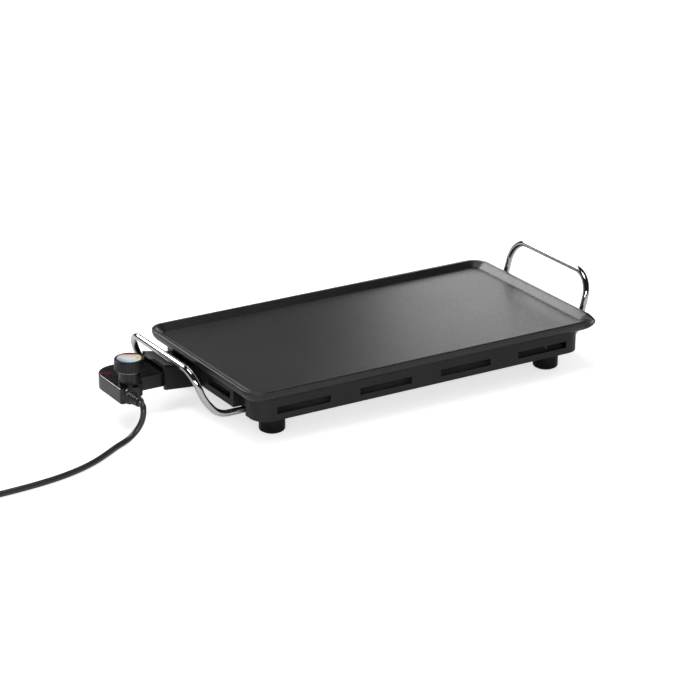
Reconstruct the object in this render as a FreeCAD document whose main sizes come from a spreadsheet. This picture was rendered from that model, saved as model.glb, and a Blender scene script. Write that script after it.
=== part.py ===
import FreeCAD, Part
import itertools
import math
import os
from types import SimpleNamespace

import Sketcher

# Electric teppanyaki grill: a cast hot plate on a low slotted base with four round feet, a wire
# handle at each end and a plug-in thermostat whose probe slides in through a hood at the left end.
# Every piece is drawn about the middle of the base, standing on the table: X along the plate, Y to
# the back, Z up, in millimetres. Each is then moved along X by the same step, so that the origin
# lies on the table under the middle of the whole grill, from thermostat to right handle.

Vector = FreeCAD.Vector
document = FreeCAD.newDocument("TeppanyakiGrill")
sheet = document.addObject("Spreadsheet::Sheet", "Sizes")

DRIVING = {
    # hot plate
    "rim_length": 490.0,
    "rim_width": 260.4,
    "rim_corner": 22.0,
    "rim_edge": 1.0,
    "rim_land": 4.5,
    "flare_radius": 15.0,
    "flare_depth": 14.5,
    "wall_spread": 9.2,
    "pan_depth": 6.5,
    "plate_floor": 5.0,
    "ring_width": 14.7,
    "lip_reach": 4.7,
    "lip_radius": 14.0,
    "lip_dip": 4.8,
    "lip_channel": 20.0,
    "foot_fillet": 2.5,
    # base
    "end_overhang": 15.8,
    "side_overhang": 11.4,
    "wall_height": 28.0,
    "base_bottom": 24.2,
    "base_corner": 20.0,
    "base_wall": 2.0,
    "flange_width": 10.0,
    "flange_thick": 1.2,
    "slot_height": 8.4,
    "slot_end": 24.2,
    "slot_gap": 40.5,
    "slot_middle_gap": 41.0,
    "end_slot_start": 7.5,
    "end_slot_stop": 16.0,
    "cover_thick": 1.0,
    "recess_depth": 10.0,
    "recess_width": 28.5,
    "vent_width": 4.0,
    "vent_length": 40.0,
    "vent_pitch": 32.0,
    "vent_row_y": 45.0,
    "foot_diameter": 31.2,
    "foot_edge": 3.0,
    "pad_diameter": 24.0,
    "pad_thick": 2.8,
    "pad_drop": 0.8,
    "foot_well": 8.0,
    # reflector under the element
    "reflector_wall": 0.8,
    "reflector_gap": 9.7,
    "reflector_corner": 10.0,
    "reflector_fold": 3.0,
    "spacer_height": 3.4,
    "spacer_diameter": 9.0,
    # heating element and its terminals
    "element_diameter": 8.0,
    "element_bend": 20.0,
    "element_inner_y": 28.0,
    "strap_thick": 1.2,
    "strap_width": 10.0,
    "strap_length": 26.0,
    "strap_gap": 0.15,
    "strap_hole_side": 9.5,
    "pin_spacing": 27.0,
    "pin_diameter": 4.8,
    "pin_nose": 2.0,
    "block_margin": 6.0,
    "block_land": 3.0,
    "block_height": 13.0,
    "block_outside": 5.0,
    "block_inside": 15.0,
    "guide_width": 15.0,
    "guide_drop": 5.5,
    "guide_wall": 4.0,
    "probe_diameter": 5.0,
    # hood round the inlet
    "hood_width": 57.0,
    "hood_side": 4.6,
    "hood_back": 3.0,
    "hood_root": 7.8,
    "hood_roof": 2.8,
    "hood_edge": 2.0,
    # thermostat
    "arm_width": 46.0,
    "head_corner": 26.0,
    "head_edge": 4.0,
    "head_neck": 14.5,
    "housing_edge": 1.5,
    "housing_wall": 2.2,
    "pedestal_diameter": 26.0,
    "collar_diameter": 30.0,
    "collar_thick": 2.0,
    "knob_diameter": 36.0,
    "knob_height": 13.0,
    "knob_flutes": 28.0,
    "dial_diameter": 31.0,
    "dial_thick": 0.8,
    "knob_wall": 2.4,
    "knob_roof": 2.2,
    "flute_radius": 1.5,
    "flute_offset": 0.9,
    "spindle_diameter": 6.0,
    "lens_diameter": 12.0,
    "lens_proud": 0.6,
    "lamp_diameter": 3.8,
    "lamp_length": 12.0,
    "sleeve_diameter": 7.2,
    "cord_diameter": 7.0,
    "relief_length": 24.0,
    "relief_neck": 11.0,
    "relief_flange": 13.2,
    "relief_collar": 20.0,
    "relief_root": 15.2,
    "relief_groove": 1.6,
    "relief_taper": 0.45,
    "plug_length": 53.0,
    "plug_radius": 17.4,
    "plug_pin_diameter": 4.8,
    "plug_pin_length": 19.0,
    "plug_pin_side": 9.5,
    # wire handles
    "wire_diameter": 8.0,
    "wire_clear": 1.0,
    "leg_bend": 27.0,
    "grip_bend": 28.0,
    # screws and fits
    "screw_diameter": 3.0,
    "screw_head": 5.6,
    "screw_head_height": 1.6,
    "clip_length": 10.0,
    "clip_width": 22.0,
    "clip_wall": 6.0,
    "clip_hole_side": 7.5,
    "running_gap": 0.05,
    "loose_gap": 0.3,
    "head_gap": 0.4,
}

# Places and levels written as the step from what each of them goes by: along X from the base's
# end wall, outwards; along Y from its side wall or from the inlet; up from the base or the inlet.
STEPS = {
    "end_wall": {
        "foot_x": -33.8,
        "plate_screw_x": -69.2,
        "reflector_end": -63.2,
        "element_outer_x": -74.2,
        "element_inner_x": -109.2,
        "element_end": -21.2,
        "pin_inner_end": -19.2,
        "guide_start": -23.2,
        "probe_tip": -55.2,
        "pin_reach": 32.8,
        "hood_reach": 48.8,
        "arm_tip": 20.8,
        "sleeve_end": 42.8,
        "probe_root": 54.8,
        "housing_screw_x": 66.8,
        "head_screw_x": 87.8,
        "knob_x": 96.3,
        "relief_x": 104.8,
        "lens_x": 107.8,
        "head_reach": 116.8,
        "clip_x": -20.2,
        "left_knee_x": 32.8,
        "left_rise_x": 50.8,
        "left_grip_x": 63.3,
        "right_knee_x": 18.3,
        "right_rise_x": 26.3,
        "right_grip_x": 36.8,
    },
    "side_wall": {
        "foot_y": -29.0,
        "recess_far": -31.8,
        "reflector_side": -26.8,
        "element_outer_y": -33.8,
        "inlet_y": -72.3,
    },
    "reflector_end": {"spacer_x": -26.0},
    "reflector_side": {"spacer_y": -22.0},
    "recess_near": {"flange_screw_y": -18.5},
    "inlet_y": {
        "head_front": -48.5,
        "knob_y": -30.5,
        "lens_y": 7.5,
        "head_stop_y": 9.5,
        "head_screw_y": 18.5,
        "head_back": 29.5,
    },
    "base_bottom": {"slot_middle": 12.3, "inlet_height": 16.55},
    "inlet_height": {
        "hood_low": -11.75,
        "housing_bottom": -9.25,
        "housing_split": 0.25,
        "housing_top": 9.25,
        "hood_top": 19.25,
        "pedestal_top": 24.25,
    },
    "leg_height": {
        "left_rise_height": 21.8,
        "left_grip_height": 55.8,
        "right_rise_height": 32.8,
        "right_grip_height": 73.8,
    },
}


class Size:
    """A length that knows its value and the formula that ties it to the sheet."""

    def __init__(self, value, formula):
        self.value = value
        self.formula = formula

    def with_other(self, other, sign, value, swapped=False):
        texts = [self.formula, as_size(other).formula]
        if swapped:
            texts.reverse()
        return Size(value, f"({texts[0]} {sign} {texts[1]})")

    def __add__(self, other):
        return self.with_other(other, "+", self.value + as_size(other).value)

    def __radd__(self, other):
        return self.with_other(other, "+", self.value + as_size(other).value, True)

    def __sub__(self, other):
        return self.with_other(other, "-", self.value - as_size(other).value)

    def __rsub__(self, other):
        return self.with_other(other, "-", as_size(other).value - self.value, True)

    def __mul__(self, other):
        return self.with_other(other, "*", self.value * as_size(other).value)

    def __rmul__(self, other):
        return self.with_other(other, "*", self.value * as_size(other).value, True)

    def __truediv__(self, other):
        return self.with_other(other, "/", self.value / as_size(other).value)

    def __neg__(self):
        return Size(-self.value, f"(-1 * {self.formula})")


def as_size(number):
    """A Size as it is, or a plain number as a Size."""
    if isinstance(number, Size):
        return number
    return Size(float(number), repr(float(number)))


def fill_sheet():
    """Write each driving dimension and each step beside its name and give the sizes back by
    name, a step as the place or level that it leads to."""
    sizes = SimpleNamespace()
    rows = itertools.count(1)

    def write(name, value):
        row = next(rows)
        sheet.set(f"A{row}", name)
        sheet.set(f"B{row}", str(value))
        sheet.setAlias(f"B{row}", name)
        return Size(value, f"Sizes.{name}")

    for name, value in DRIVING.items():
        setattr(sizes, name, write(name, value))
    sizes.end_wall = sizes.rim_length / 2 - sizes.end_overhang
    sizes.side_wall = sizes.rim_width / 2 - sizes.side_overhang
    leg_rise = sizes.wire_diameter / 2 + sizes.wire_clear
    sizes.leg_height = sizes.base_bottom + sizes.cover_thick + leg_rise
    for reference, steps in STEPS.items():
        if reference == "recess_near":
            sizes.recess_near = sizes.recess_far - sizes.recess_width
        for name, step in steps.items():
            setattr(sizes, name, getattr(sizes, reference) + write(name, step))
    document.recompute()
    return sizes


d = fill_sheet()
nodes = {}

# Levels and places that several pieces share.
base_x = (d.head_reach - d.right_grip_x - d.wire_diameter / 2) / 2
end_wall = d.end_wall
side_wall = d.side_wall
base_length = 2 * end_wall
base_width = 2 * side_wall
plate_bottom = d.base_bottom + d.wall_height
rim_height = plate_bottom + d.flare_depth
pan_floor = rim_height - d.pan_depth
plate_under = pan_floor - d.plate_floor
cover_top = d.base_bottom + d.cover_thick
screw_inset = (d.flange_width + d.base_wall + d.base_wall) / 2
slot_length = (base_length - 2 * (d.slot_end + d.slot_gap) - d.slot_middle_gap) / 4
slot_near = (slot_length + d.slot_middle_gap) / 2
slot_far = end_wall - d.slot_end - slot_length / 2
between_slots = slot_near + slot_length / 2 + d.slot_middle_gap / 2
element_level = plate_under - d.element_diameter / 2 - 2 * d.running_gap
pin_side = d.pin_spacing / 2
recess_near_inlet = d.inlet_y + pin_side + d.block_margin + d.block_land
leg_spread = d.recess_far - d.wire_diameter / 2 - d.wire_clear
collar_bottom = d.pedestal_top
knob_bottom = d.pedestal_top + d.collar_thick + d.loose_gap
knob_top = knob_bottom + d.knob_height
drill = d.screw_diameter / 2 + d.running_gap
element_radius = d.element_diameter / 2


def bind(thing, path, length):
    thing.setExpression(path, as_size(length).formula)


def place(thing, x, y, z):
    """Tie the three coordinates of an object's place to their sizes."""
    bind(thing, "Placement.Base.x", x)
    bind(thing, "Placement.Base.y", y)
    bind(thing, "Placement.Base.z", z)


def box(name, x, y, z):
    """A block between two sizes along each axis."""
    block = document.addObject("Part::Box", name)
    bind(block, "Length", as_size(x[1]) - x[0])
    bind(block, "Width", as_size(y[1]) - y[0])
    bind(block, "Height", as_size(z[1]) - z[0])
    place(block, x[0], y[0], z[0])
    return block


TURNS = {
    "z": FreeCAD.Rotation(),
    "x": FreeCAD.Rotation(Vector(0, 1, 0), 90),
    "y": FreeCAD.Rotation(Vector(1, 0, 0), -90),
}


def cylinder(name, radius, start, length, axis="z"):
    """A round bar from its start along one axis."""
    bar = document.addObject("Part::Cylinder", name)
    bind(bar, "Radius", radius)
    bind(bar, "Height", length)
    bar.Placement = FreeCAD.Placement(Vector(), TURNS[axis])
    place(bar, *start)
    return bar


def cone(name, low, high, start, length, axis="z"):
    """A tapered bar from its start along one axis, low and high being its end radii."""
    bar = document.addObject("Part::Cone", name)
    bind(bar, "Radius1", low)
    bind(bar, "Radius2", high)
    bind(bar, "Height", length)
    bar.Placement = FreeCAD.Placement(Vector(), TURNS[axis])
    place(bar, *start)
    return bar


def fuse(name, *pieces):
    joined = document.addObject("Part::MultiFuse", name)
    joined.Shapes = list(pieces)
    return joined


def cut(name, body, *tools):
    """A body less one or more tools."""
    less = document.addObject("Part::Cut", name)
    less.Base = body
    less.Tool = tools[0] if len(tools) == 1 else fuse(name + "_tools", *tools)
    return less


def together(name, *pieces):
    """Several like solids that share one node."""
    group = document.addObject("Part::Compound", name)
    group.Links = list(pieces)
    return group


def node(name, thing):
    """Name a finished piece and move it to its place about the origin of the whole."""
    thing.Label = name
    bind(thing, "Placement.Base.x", base_x)
    nodes[name] = thing


def new_body(name):
    return document.addObject("PartDesign::Body", name)


def sketch(body, name, plane, level=0):
    """A sketch on one of the body's own planes, moved along the plane's normal by level."""
    drawing = body.newObject("Sketcher::SketchObject", name)
    for feature in body.Origin.OriginFeatures:
        if feature.Role == plane + "_Plane":
            drawing.AttachmentSupport = (feature, [""])
    drawing.MapMode = "FlatFace"
    bind(drawing, "AttachmentOffset.Base.z", level)
    return drawing


def tie(drawing, geometry, point, x, y):
    """Hold one point of a sketch at its two coordinates from the sketch's origin."""
    for kind, length in (("DistanceX", x), ("DistanceY", y)):
        number = drawing.addConstraint(
            Sketcher.Constraint(kind, -1, 1, geometry, point, as_size(length).value)
        )
        bind(drawing, f"Constraints[{number}]", length)


def polygon(drawing, corners):
    """A closed loop of straight lines whose corners are held at their coordinates."""
    corners = [(as_size(x), as_size(y)) for x, y in corners]
    first = drawing.GeometryCount
    count = len(corners)
    for start, end in zip(corners, corners[1:] + corners[:1]):
        low = Vector(start[0].value, start[1].value, 0)
        high = Vector(end[0].value, end[1].value, 0)
        drawing.addGeometry(Part.LineSegment(low, high), False)
    for index, corner in enumerate(corners):
        before = first + (index - 1) % count
        drawing.addConstraint(Sketcher.Constraint("Coincident", before, 2, first + index, 1))
        tie(drawing, first + index, 1, *corner)


def rectangle(drawing, x, y):
    polygon(drawing, [(x[0], y[0]), (x[1], y[0]), (x[1], y[1]), (x[0], y[1])])


def circle(drawing, x, y, radius):
    round_line = Part.Circle(
        Vector(as_size(x).value, as_size(y).value, 0), Vector(0, 0, 1), as_size(radius).value
    )
    index = drawing.addGeometry(round_line, False)
    number = drawing.addConstraint(Sketcher.Constraint("Radius", index, as_size(radius).value))
    bind(drawing, f"Constraints[{number}]", radius)
    tie(drawing, index, 3, x, y)


def rounded_rectangle(drawing, length, width, radius):
    """A rectangle about the sketch's origin with four equal round corners."""
    right, left = length / 2, -length / 2
    back, front = width / 2, -width / 2
    r = radius.value
    first = drawing.GeometryCount
    ends = [
        (left.value + r, front.value, right.value - r, front.value),
        (right.value, front.value + r, right.value, back.value - r),
        (right.value - r, back.value, left.value + r, back.value),
        (left.value, back.value - r, left.value, front.value + r),
    ]
    for x0, y0, x1, y1 in ends:
        drawing.addGeometry(Part.LineSegment(Vector(x0, y0, 0), Vector(x1, y1, 0)), False)
    centres = [
        (right.value - r, front.value + r, -90),
        (right.value - r, back.value - r, 0),
        (left.value + r, back.value - r, 90),
        (left.value + r, front.value + r, 180),
    ]
    for cx, cy, start in centres:
        full = Part.Circle(Vector(cx, cy, 0), Vector(0, 0, 1), r)
        arc = Part.ArcOfCircle(full, math.radians(start), math.radians(start + 90))
        drawing.addGeometry(arc, False)
    for side in range(4):
        line, arc, following = first + side, first + 4 + side, first + (side + 1) % 4
        drawing.addConstraint(Sketcher.Constraint("Tangent", line, 2, arc, 1))
        drawing.addConstraint(Sketcher.Constraint("Tangent", arc, 2, following, 1))
        level = "Vertical" if side % 2 else "Horizontal"
        drawing.addConstraint(Sketcher.Constraint(level, line))
        if side:
            drawing.addConstraint(Sketcher.Constraint("Equal", first + 4, arc))
    sizes = [
        ("DistanceY", first, front),
        ("DistanceX", first + 1, right),
        ("DistanceY", first + 2, back),
        ("DistanceX", first + 3, left),
    ]
    for kind, line, length_from_origin in sizes:
        number = drawing.addConstraint(
            Sketcher.Constraint(kind, -1, 1, line, 1, length_from_origin.value)
        )
        bind(drawing, f"Constraints[{number}]", length_from_origin)
    number = drawing.addConstraint(Sketcher.Constraint("Radius", first + 4, r))
    bind(drawing, f"Constraints[{number}]", radius)


def extrude(body, kind, drawing, length, both_ways=False, backwards=False):
    """A pad or pocket of a sketch; kind is Pad or Pocket."""
    feature = body.newObject("PartDesign::" + kind, drawing.Name + kind)
    feature.Profile = drawing
    bind(feature, "Length", length)
    feature.Reversed = backwards
    if both_ways:
        feature.SideType = "Symmetric"
    drawing.Visibility = False
    return feature


def pad(body, drawing, length, **how):
    return extrude(body, "Pad", drawing, length, **how)


def pocket(body, drawing, length, **how):
    return extrude(body, "Pocket", drawing, length, **how)


def loft(body, kind, drawings, ruled=False):
    """A loft through sketches; kind is Additive or Subtractive."""
    feature = body.newObject(f"PartDesign::{kind}Loft", drawings[0].Name + "Loft")
    feature.Profile = drawings[0]
    feature.Sections = drawings[1:]
    feature.Ruled = ruled
    return feature


def revolve(body, drawing, axis="V_Axis"):
    feature = body.newObject("PartDesign::Revolution", drawing.Name + "Turn")
    feature.Profile = drawing
    feature.ReferenceAxis = (drawing, [axis])
    feature.Angle = 360
    return feature


def fillet(body, feature, radius, wanted):
    """Round the edges of a feature that a test picks."""
    document.recompute()
    names = [
        f"Edge{number}"
        for number, edge in enumerate(feature.Shape.Edges, start=1)
        if wanted(edge)
    ]
    if not names:
        raise ValueError(f"{feature.Name} has no edge to round")
    rounding = body.newObject("PartDesign::Fillet", feature.Name + "Fillet")
    rounding.Base = (feature, names)
    bind(rounding, "Radius", radius)
    return rounding


def level_edge(height):
    """A test for edges that lie flat at one height."""
    return lambda edge: (
        abs(edge.BoundBox.ZMin - as_size(height).value) < 0.01
        and abs(edge.BoundBox.ZMax - as_size(height).value) < 0.01
    )


def upright_edge(x=None, y=None):
    """A test for straight upright edges, at one X or Y if they are given."""

    def wanted(edge):
        span = edge.BoundBox
        if span.XLength > 0.01 or span.YLength > 0.01:
            return False
        near_x = x is None or abs(span.XMin - as_size(x).value) < 0.01
        return near_x and (y is None or abs(span.YMin - as_size(y).value) < 0.01)

    return wanted


def route(points, bend):
    """A wire of straight runs joined by tangent arcs. bend gives an arc's radius from the
    lengths of the runs before and after it and from its turn."""
    edges = []
    here = points[0]
    radii = []
    for before, corner, after in zip(points, points[1:], points[2:]):
        into = Vector(corner - before).normalize()
        out = Vector(after - corner).normalize()
        turn = into.getAngle(out)
        radius = bend((corner - before).Length, (after - corner).Length, turn)
        radii.append(radius)
        back = radius * math.tan(turn / 2)
        start = corner - into * back
        end = corner + out * back
        middle = corner + (out - into).normalize() * radius * (1 / math.cos(turn / 2) - 1)
        edges.append(Part.LineSegment(here, start).toShape())
        edges.append(Part.Arc(start, middle, end).toShape())
        here = end
    edges.append(Part.LineSegment(here, points[-1]).toShape())
    return Part.Wire(edges), radii


def tube(name, wire, radius):
    """A round bar along a wire, checked against its section times its length."""
    first = wire.Edges[0]
    ring = Part.Circle(first.Vertexes[0].Point, first.tangentAt(first.FirstParameter), radius)
    solid = wire.makePipeShell([Part.Wire(ring.toShape())], True, False)
    ratio = solid.Volume / (math.pi * radius * radius * wire.Length)
    print(f"{name}: {wire.Length:.0f} mm of path, volume {ratio:.3f} of section times length")
    return solid


def swept(name, points, radius, bend):
    """A Part::Feature that holds a bent bar through points given as sizes."""
    places = [Vector(*[as_size(c).value for c in point]) for point in points]
    wire, radii = route(places, bend)
    print(f"{name} bends:", " ".join(f"{bend_radius:.0f}" for bend_radius in radii))
    bar = document.addObject("Part::Feature", name)
    bar.Shape = tube(name, wire, as_size(radius).value)
    return bar


def screws(name, places, length, upwards=True):
    """Pan-head screws that share one node, each given by the place of its seat."""
    made = []
    for x, y, z in places:
        low = as_size(z)
        head_start = low - d.screw_head_height if upwards else low
        shank_start = low if upwards else low - length
        head = cylinder("head", d.screw_head / 2, (x, y, head_start), d.screw_head_height)
        shank = cylinder("shank", d.screw_diameter / 2, (x, y, shank_start), length)
        made.append(fuse("screw", head, shank))
    node(name, together(name, *made))


# How deep the screws' holes go into the plate, how far two kinds of screw stand past what they
# hold, and what keeps a screw's end off the bottom of its hole.
PLATE_SCREW_DEPTH = 4.5
STRAP_SCREW_DEPTH = 2.8
FOOT_SCREW_END = 3.0
PAN_SCREW_END = 2.5
SCREW_CLEAR = 0.1

# The straps of the element, given by where the tube passes through them, and their screws.
STRAPS = [(x, side * d.element_outer_y) for side in (1, -1) for x in (-60, 70)]
STRAPS += [(30, side * d.element_inner_y) for side in (1, -1)]
STRAP_SCREWS = [(x, y + side * d.strap_hole_side) for x, y in STRAPS for side in (-1, 1)]

# The places of the screws that hold the cover and the plate to the flanges of the base.
flange_x = end_wall - screw_inset
flange_y = side_wall - screw_inset
END_SCREWS = [(end * flange_x, side * d.flange_screw_y) for end in (-1, 1) for side in (-1, 1)]
COVER_SCREWS = END_SCREWS + [
    (place * between_slots, side * flange_y) for side in (-1, 1) for place in (-1, 0, 1)
]
PLATE_SCREWS = END_SCREWS + [
    (place * d.plate_screw_x, side * flange_y) for side in (-1, 1) for place in (-1, 0, 1)
]


def lip_sketch(body, name, level, radius):
    """A circle of the pour lip, on the diagonal of the front right corner."""
    drawing = sketch(body, name, "XY", level)
    reach = (d.rim_corner + d.lip_reach - d.lip_radius) * math.sqrt(0.5)
    x = d.rim_length / 2 - d.rim_corner + reach
    y = -(d.rim_width / 2 - d.rim_corner + reach)
    circle(drawing, x, y, radius)
    return drawing


def grill_plate():
    """The cast plate: a shallow pan whose wall flares out to a rim, with a pour lip at the
    front right corner and a ring underneath that sits on the base."""
    body = new_body("grill_plate")
    blank_bottom = rim_height - d.rim_edge - d.flare_radius
    blank = sketch(body, "plate_blank", "XY", blank_bottom)
    rounded_rectangle(blank, d.rim_length, d.rim_width, d.rim_corner)
    solid = pad(body, blank, d.rim_edge + d.flare_radius)
    fillet(body, solid, d.flare_radius, level_edge(blank_bottom))

    lip = []
    for name, drop in (("lip_top", 0.0), ("lip_edge", 0.2), ("lip_side", 0.7), ("lip_root", 1.0)):
        depth = d.flare_depth.value * drop
        radius = d.flare_radius.value
        rise = max(depth - d.rim_edge.value, 0)
        inset = radius - math.sqrt(radius * radius - rise * rise)
        lip.append(lip_sketch(body, name, rim_height - d.flare_depth * drop, d.lip_radius - inset))
    loft(body, "Additive", lip)

    trim = sketch(body, "plate_trim", "XY", blank_bottom)
    rectangle(trim, (-d.rim_length, d.rim_length), (-d.rim_width, d.rim_width))
    pocket(body, trim, plate_bottom - blank_bottom, backwards=True)

    hollow = sketch(body, "plate_hollow", "XY", plate_bottom)
    reach = d.rim_length / 2 - end_wall + d.ring_width
    rounded_rectangle(hollow, d.rim_length - 2 * reach, d.rim_width - 2 * reach, d.rim_corner / 2)
    pocket(body, hollow, plate_under - plate_bottom, backwards=True)

    mouth = sketch(body, "pan_mouth", "XY", rim_height)
    rounded_rectangle(
        mouth, d.rim_length - 2 * d.rim_land, d.rim_width - 2 * d.rim_land, d.rim_corner - d.rim_land
    )
    foot = sketch(body, "pan_foot", "XY", pan_floor)
    spread = d.rim_land + d.wall_spread
    rounded_rectangle(
        foot, d.rim_length - 2 * spread, d.rim_width - 2 * spread, d.rim_corner - spread
    )
    loft(body, "Subtractive", [mouth, foot], ruled=True)

    inner_top = lip_sketch(body, "lip_mouth", rim_height, d.lip_radius - d.rim_land)
    inner_foot = lip_sketch(
        body, "lip_foot", rim_height - d.lip_dip, d.lip_radius - d.rim_land - d.wall_spread / 2
    )
    loft(body, "Subtractive", [inner_top, inner_foot], ruled=True)

    channel = body.newObject("PartDesign::SubtractiveCylinder", "lip_channel_cut")
    bind(channel, "Radius", d.lip_channel)
    bind(channel, "Height", 2 * d.lip_radius)
    start = (d.rim_corner + d.lip_reach - d.lip_radius) * math.sqrt(0.5)
    channel.Placement = FreeCAD.Placement(
        Vector(), FreeCAD.Rotation(Vector(0, 0, 1), Vector(1, -1, 0))
    )
    place(
        channel,
        d.rim_length / 2 - d.rim_corner + start,
        -(d.rim_width / 2 - d.rim_corner + start),
        rim_height - d.lip_dip + d.lip_channel,
    )

    holes = sketch(body, "plate_screw_holes", "XY", plate_bottom)
    for x, y in PLATE_SCREWS:
        circle(holes, x, y, drill)
    pocket(body, holes, PLATE_SCREW_DEPTH, backwards=True)
    strap_holes = sketch(body, "strap_screw_holes", "XY", plate_under)
    for x, y in STRAP_SCREWS:
        circle(strap_holes, x, y, drill)
    drilled = pocket(body, strap_holes, STRAP_SCREW_DEPTH, backwards=True)
    foot_edges = level_edge(pan_floor)
    inside_lip = d.rim_length.value / 2 - d.rim_land.value
    body.Tip = fillet(
        body, drilled, d.foot_fillet, lambda edge: foot_edges(edge) and edge.BoundBox.XMax < inside_lip
    )
    node("grill_plate", body)


def recess_spans():
    """The upright recesses in the end walls that the handles' legs come out of: each one's
    name, its walls' inner and outer X and its near and far Y."""
    spans = []
    for end_name, end in (("left", -1), ("right", 1)):
        for side_name, side in (("front", -1), ("back", 1)):
            near = recess_near_inlet if (end, side) == (-1, 1) else d.recess_near
            low, high = sorted((side * near, side * d.recess_far), key=lambda size: size.value)
            inner = end * (end_wall - d.recess_depth - d.base_wall)
            outer = end * (end_wall - d.base_wall / 2)
            spans.append((f"recess_{end_name}_{side_name}", inner, outer, low, high))
    return spans


RECESSES = recess_spans()


def base_frame():
    """The base: one slotted wall with an inward flange along its bottom and top edges, and a
    recess round each leg of the handles."""
    body = new_body("base_frame")
    inner = d.base_wall + d.flange_width
    rings = (
        ("bottom_flange", cover_top, d.flange_thick, inner),
        ("wall", d.base_bottom, plate_bottom - d.base_bottom, d.base_wall),
        ("top_flange", plate_bottom - d.flange_thick, d.flange_thick, inner),
    )
    for name, level, height, inset in rings:
        drawing = sketch(body, name, "XY", level)
        rounded_rectangle(drawing, base_length, base_width, d.base_corner)
        corner = d.base_corner - d.base_wall
        rounded_rectangle(
            drawing, base_length - 2 * inset, base_width - 2 * inset, corner
        )
        pad(body, drawing, height)

    slots = sketch(body, "long_slots", "XZ")
    low, high = d.slot_middle - d.slot_height / 2, d.slot_middle + d.slot_height / 2
    for middle in (-slot_far, -slot_near, slot_near, slot_far):
        rectangle(slots, (middle - slot_length / 2, middle + slot_length / 2), (low, high))
    pocket(body, slots, 2 * base_width, both_ways=True)

    for name, inner_x, outer_x, near_y, far_y in RECESSES:
        wall = d.base_wall
        lump = sketch(body, name + "_walls", "XY", d.base_bottom)
        rectangle(lump, (inner_x, outer_x), (near_y - wall, far_y + wall))
        pad(body, lump, plate_bottom - d.base_bottom)
        opening = sketch(body, name, "XY", d.base_bottom)
        sign = 1 if inner_x.value > 0 else -1
        rectangle(opening, (inner_x + sign * wall, sign * base_length), (near_y, far_y))
        pocket(body, opening, plate_bottom - d.base_bottom, backwards=True)

    ends = sketch(body, "left_end_openings", "YZ", -end_wall)
    near = d.end_slot_start - d.recess_near
    far = d.inlet_y - d.hood_width / 2 - d.end_slot_stop
    rectangle(ends, (near, far), (low, high))
    block = inlet_block_size(d.loose_gap)
    rectangle(ends, *block)
    pocket(body, ends, 2 * d.base_wall, both_ways=True)

    legs = sketch(body, "leg_holes", "YZ")
    for y in (-leg_spread, leg_spread):
        circle(legs, y, d.leg_height, d.wire_diameter / 2 + d.running_gap)
    pocket(body, legs, 2 * base_length, both_ways=True)

    screw_holes = sketch(body, "flange_holes", "XY", d.base_bottom)
    for x, y in COVER_SCREWS:
        circle(screw_holes, x, y, drill)
    pocket(body, screw_holes, d.cover_thick + 2 * d.flange_thick, backwards=True)
    top_holes = sketch(body, "top_holes", "XY", plate_bottom)
    for x, y in PLATE_SCREWS:
        circle(top_holes, x, y, drill)
    pocket(body, top_holes, 2 * d.flange_thick)
    node("base_frame", body)


def inlet_block_size(gap):
    """The width and height of the terminal block, or of the opening it sits in."""
    half = d.pin_spacing / 2 + d.block_margin + gap
    rise = d.block_height / 2 + gap
    return (
        (d.inlet_y - half, d.inlet_y + half),
        (d.inlet_height - rise, d.inlet_height + rise),
    )


def bottom_plate():
    """The sheet that closes the base, with rows of cooling slits."""
    body = new_body("bottom_plate")
    outline = sketch(body, "cover_outline", "XY", d.base_bottom)
    gap = d.base_wall + d.loose_gap
    rounded_rectangle(
        outline, base_length - 2 * gap, base_width - 2 * gap, d.base_corner - gap
    )
    pad(body, outline, d.cover_thick)
    holes = sketch(body, "cover_holes", "XY", cover_top)
    for x, y in COVER_SCREWS + CLIP_SCREWS + FEET + SPACERS:
        circle(holes, x, y, drill)
    for row in (-1, 1):
        for step in range(-3, 4):
            middle = step * d.vent_pitch
            width = (middle - d.vent_width / 2, middle + d.vent_width / 2)
            centre = row * d.vent_row_y
            rectangle(holes, width, (centre - d.vent_length / 2, centre + d.vent_length / 2))
    for name, inner_x, outer_x, near_y, far_y in RECESSES:
        gap = d.base_wall + d.loose_gap
        sign = 1 if inner_x.value > 0 else -1
        reach = (inner_x - sign * d.loose_gap, sign * base_length)
        rectangle(holes, reach, (near_y - gap, far_y + gap))
    pocket(body, holes, 2 * d.cover_thick)
    node("bottom_plate", body)
    screws("bottom_screws", [(x, y, d.base_bottom) for x, y in COVER_SCREWS], 5)


FEET = [(right * d.foot_x, back * d.foot_y) for right in (-1, 1) for back in (-1, 1)]
FOOT_NAMES = ["foot_front_left", "foot_back_left", "foot_front_right", "foot_back_right"]
SPACERS = [(right * d.spacer_x, back * d.spacer_y) for right in (-1, 1) for back in (-1, 1)]
CLIP_SCREWS = [
    (right * d.clip_x, back * (leg_spread + side * d.clip_hole_side))
    for right in (-1, 1)
    for back in (-1, 1)
    for side in (-1, 1)
]


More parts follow.
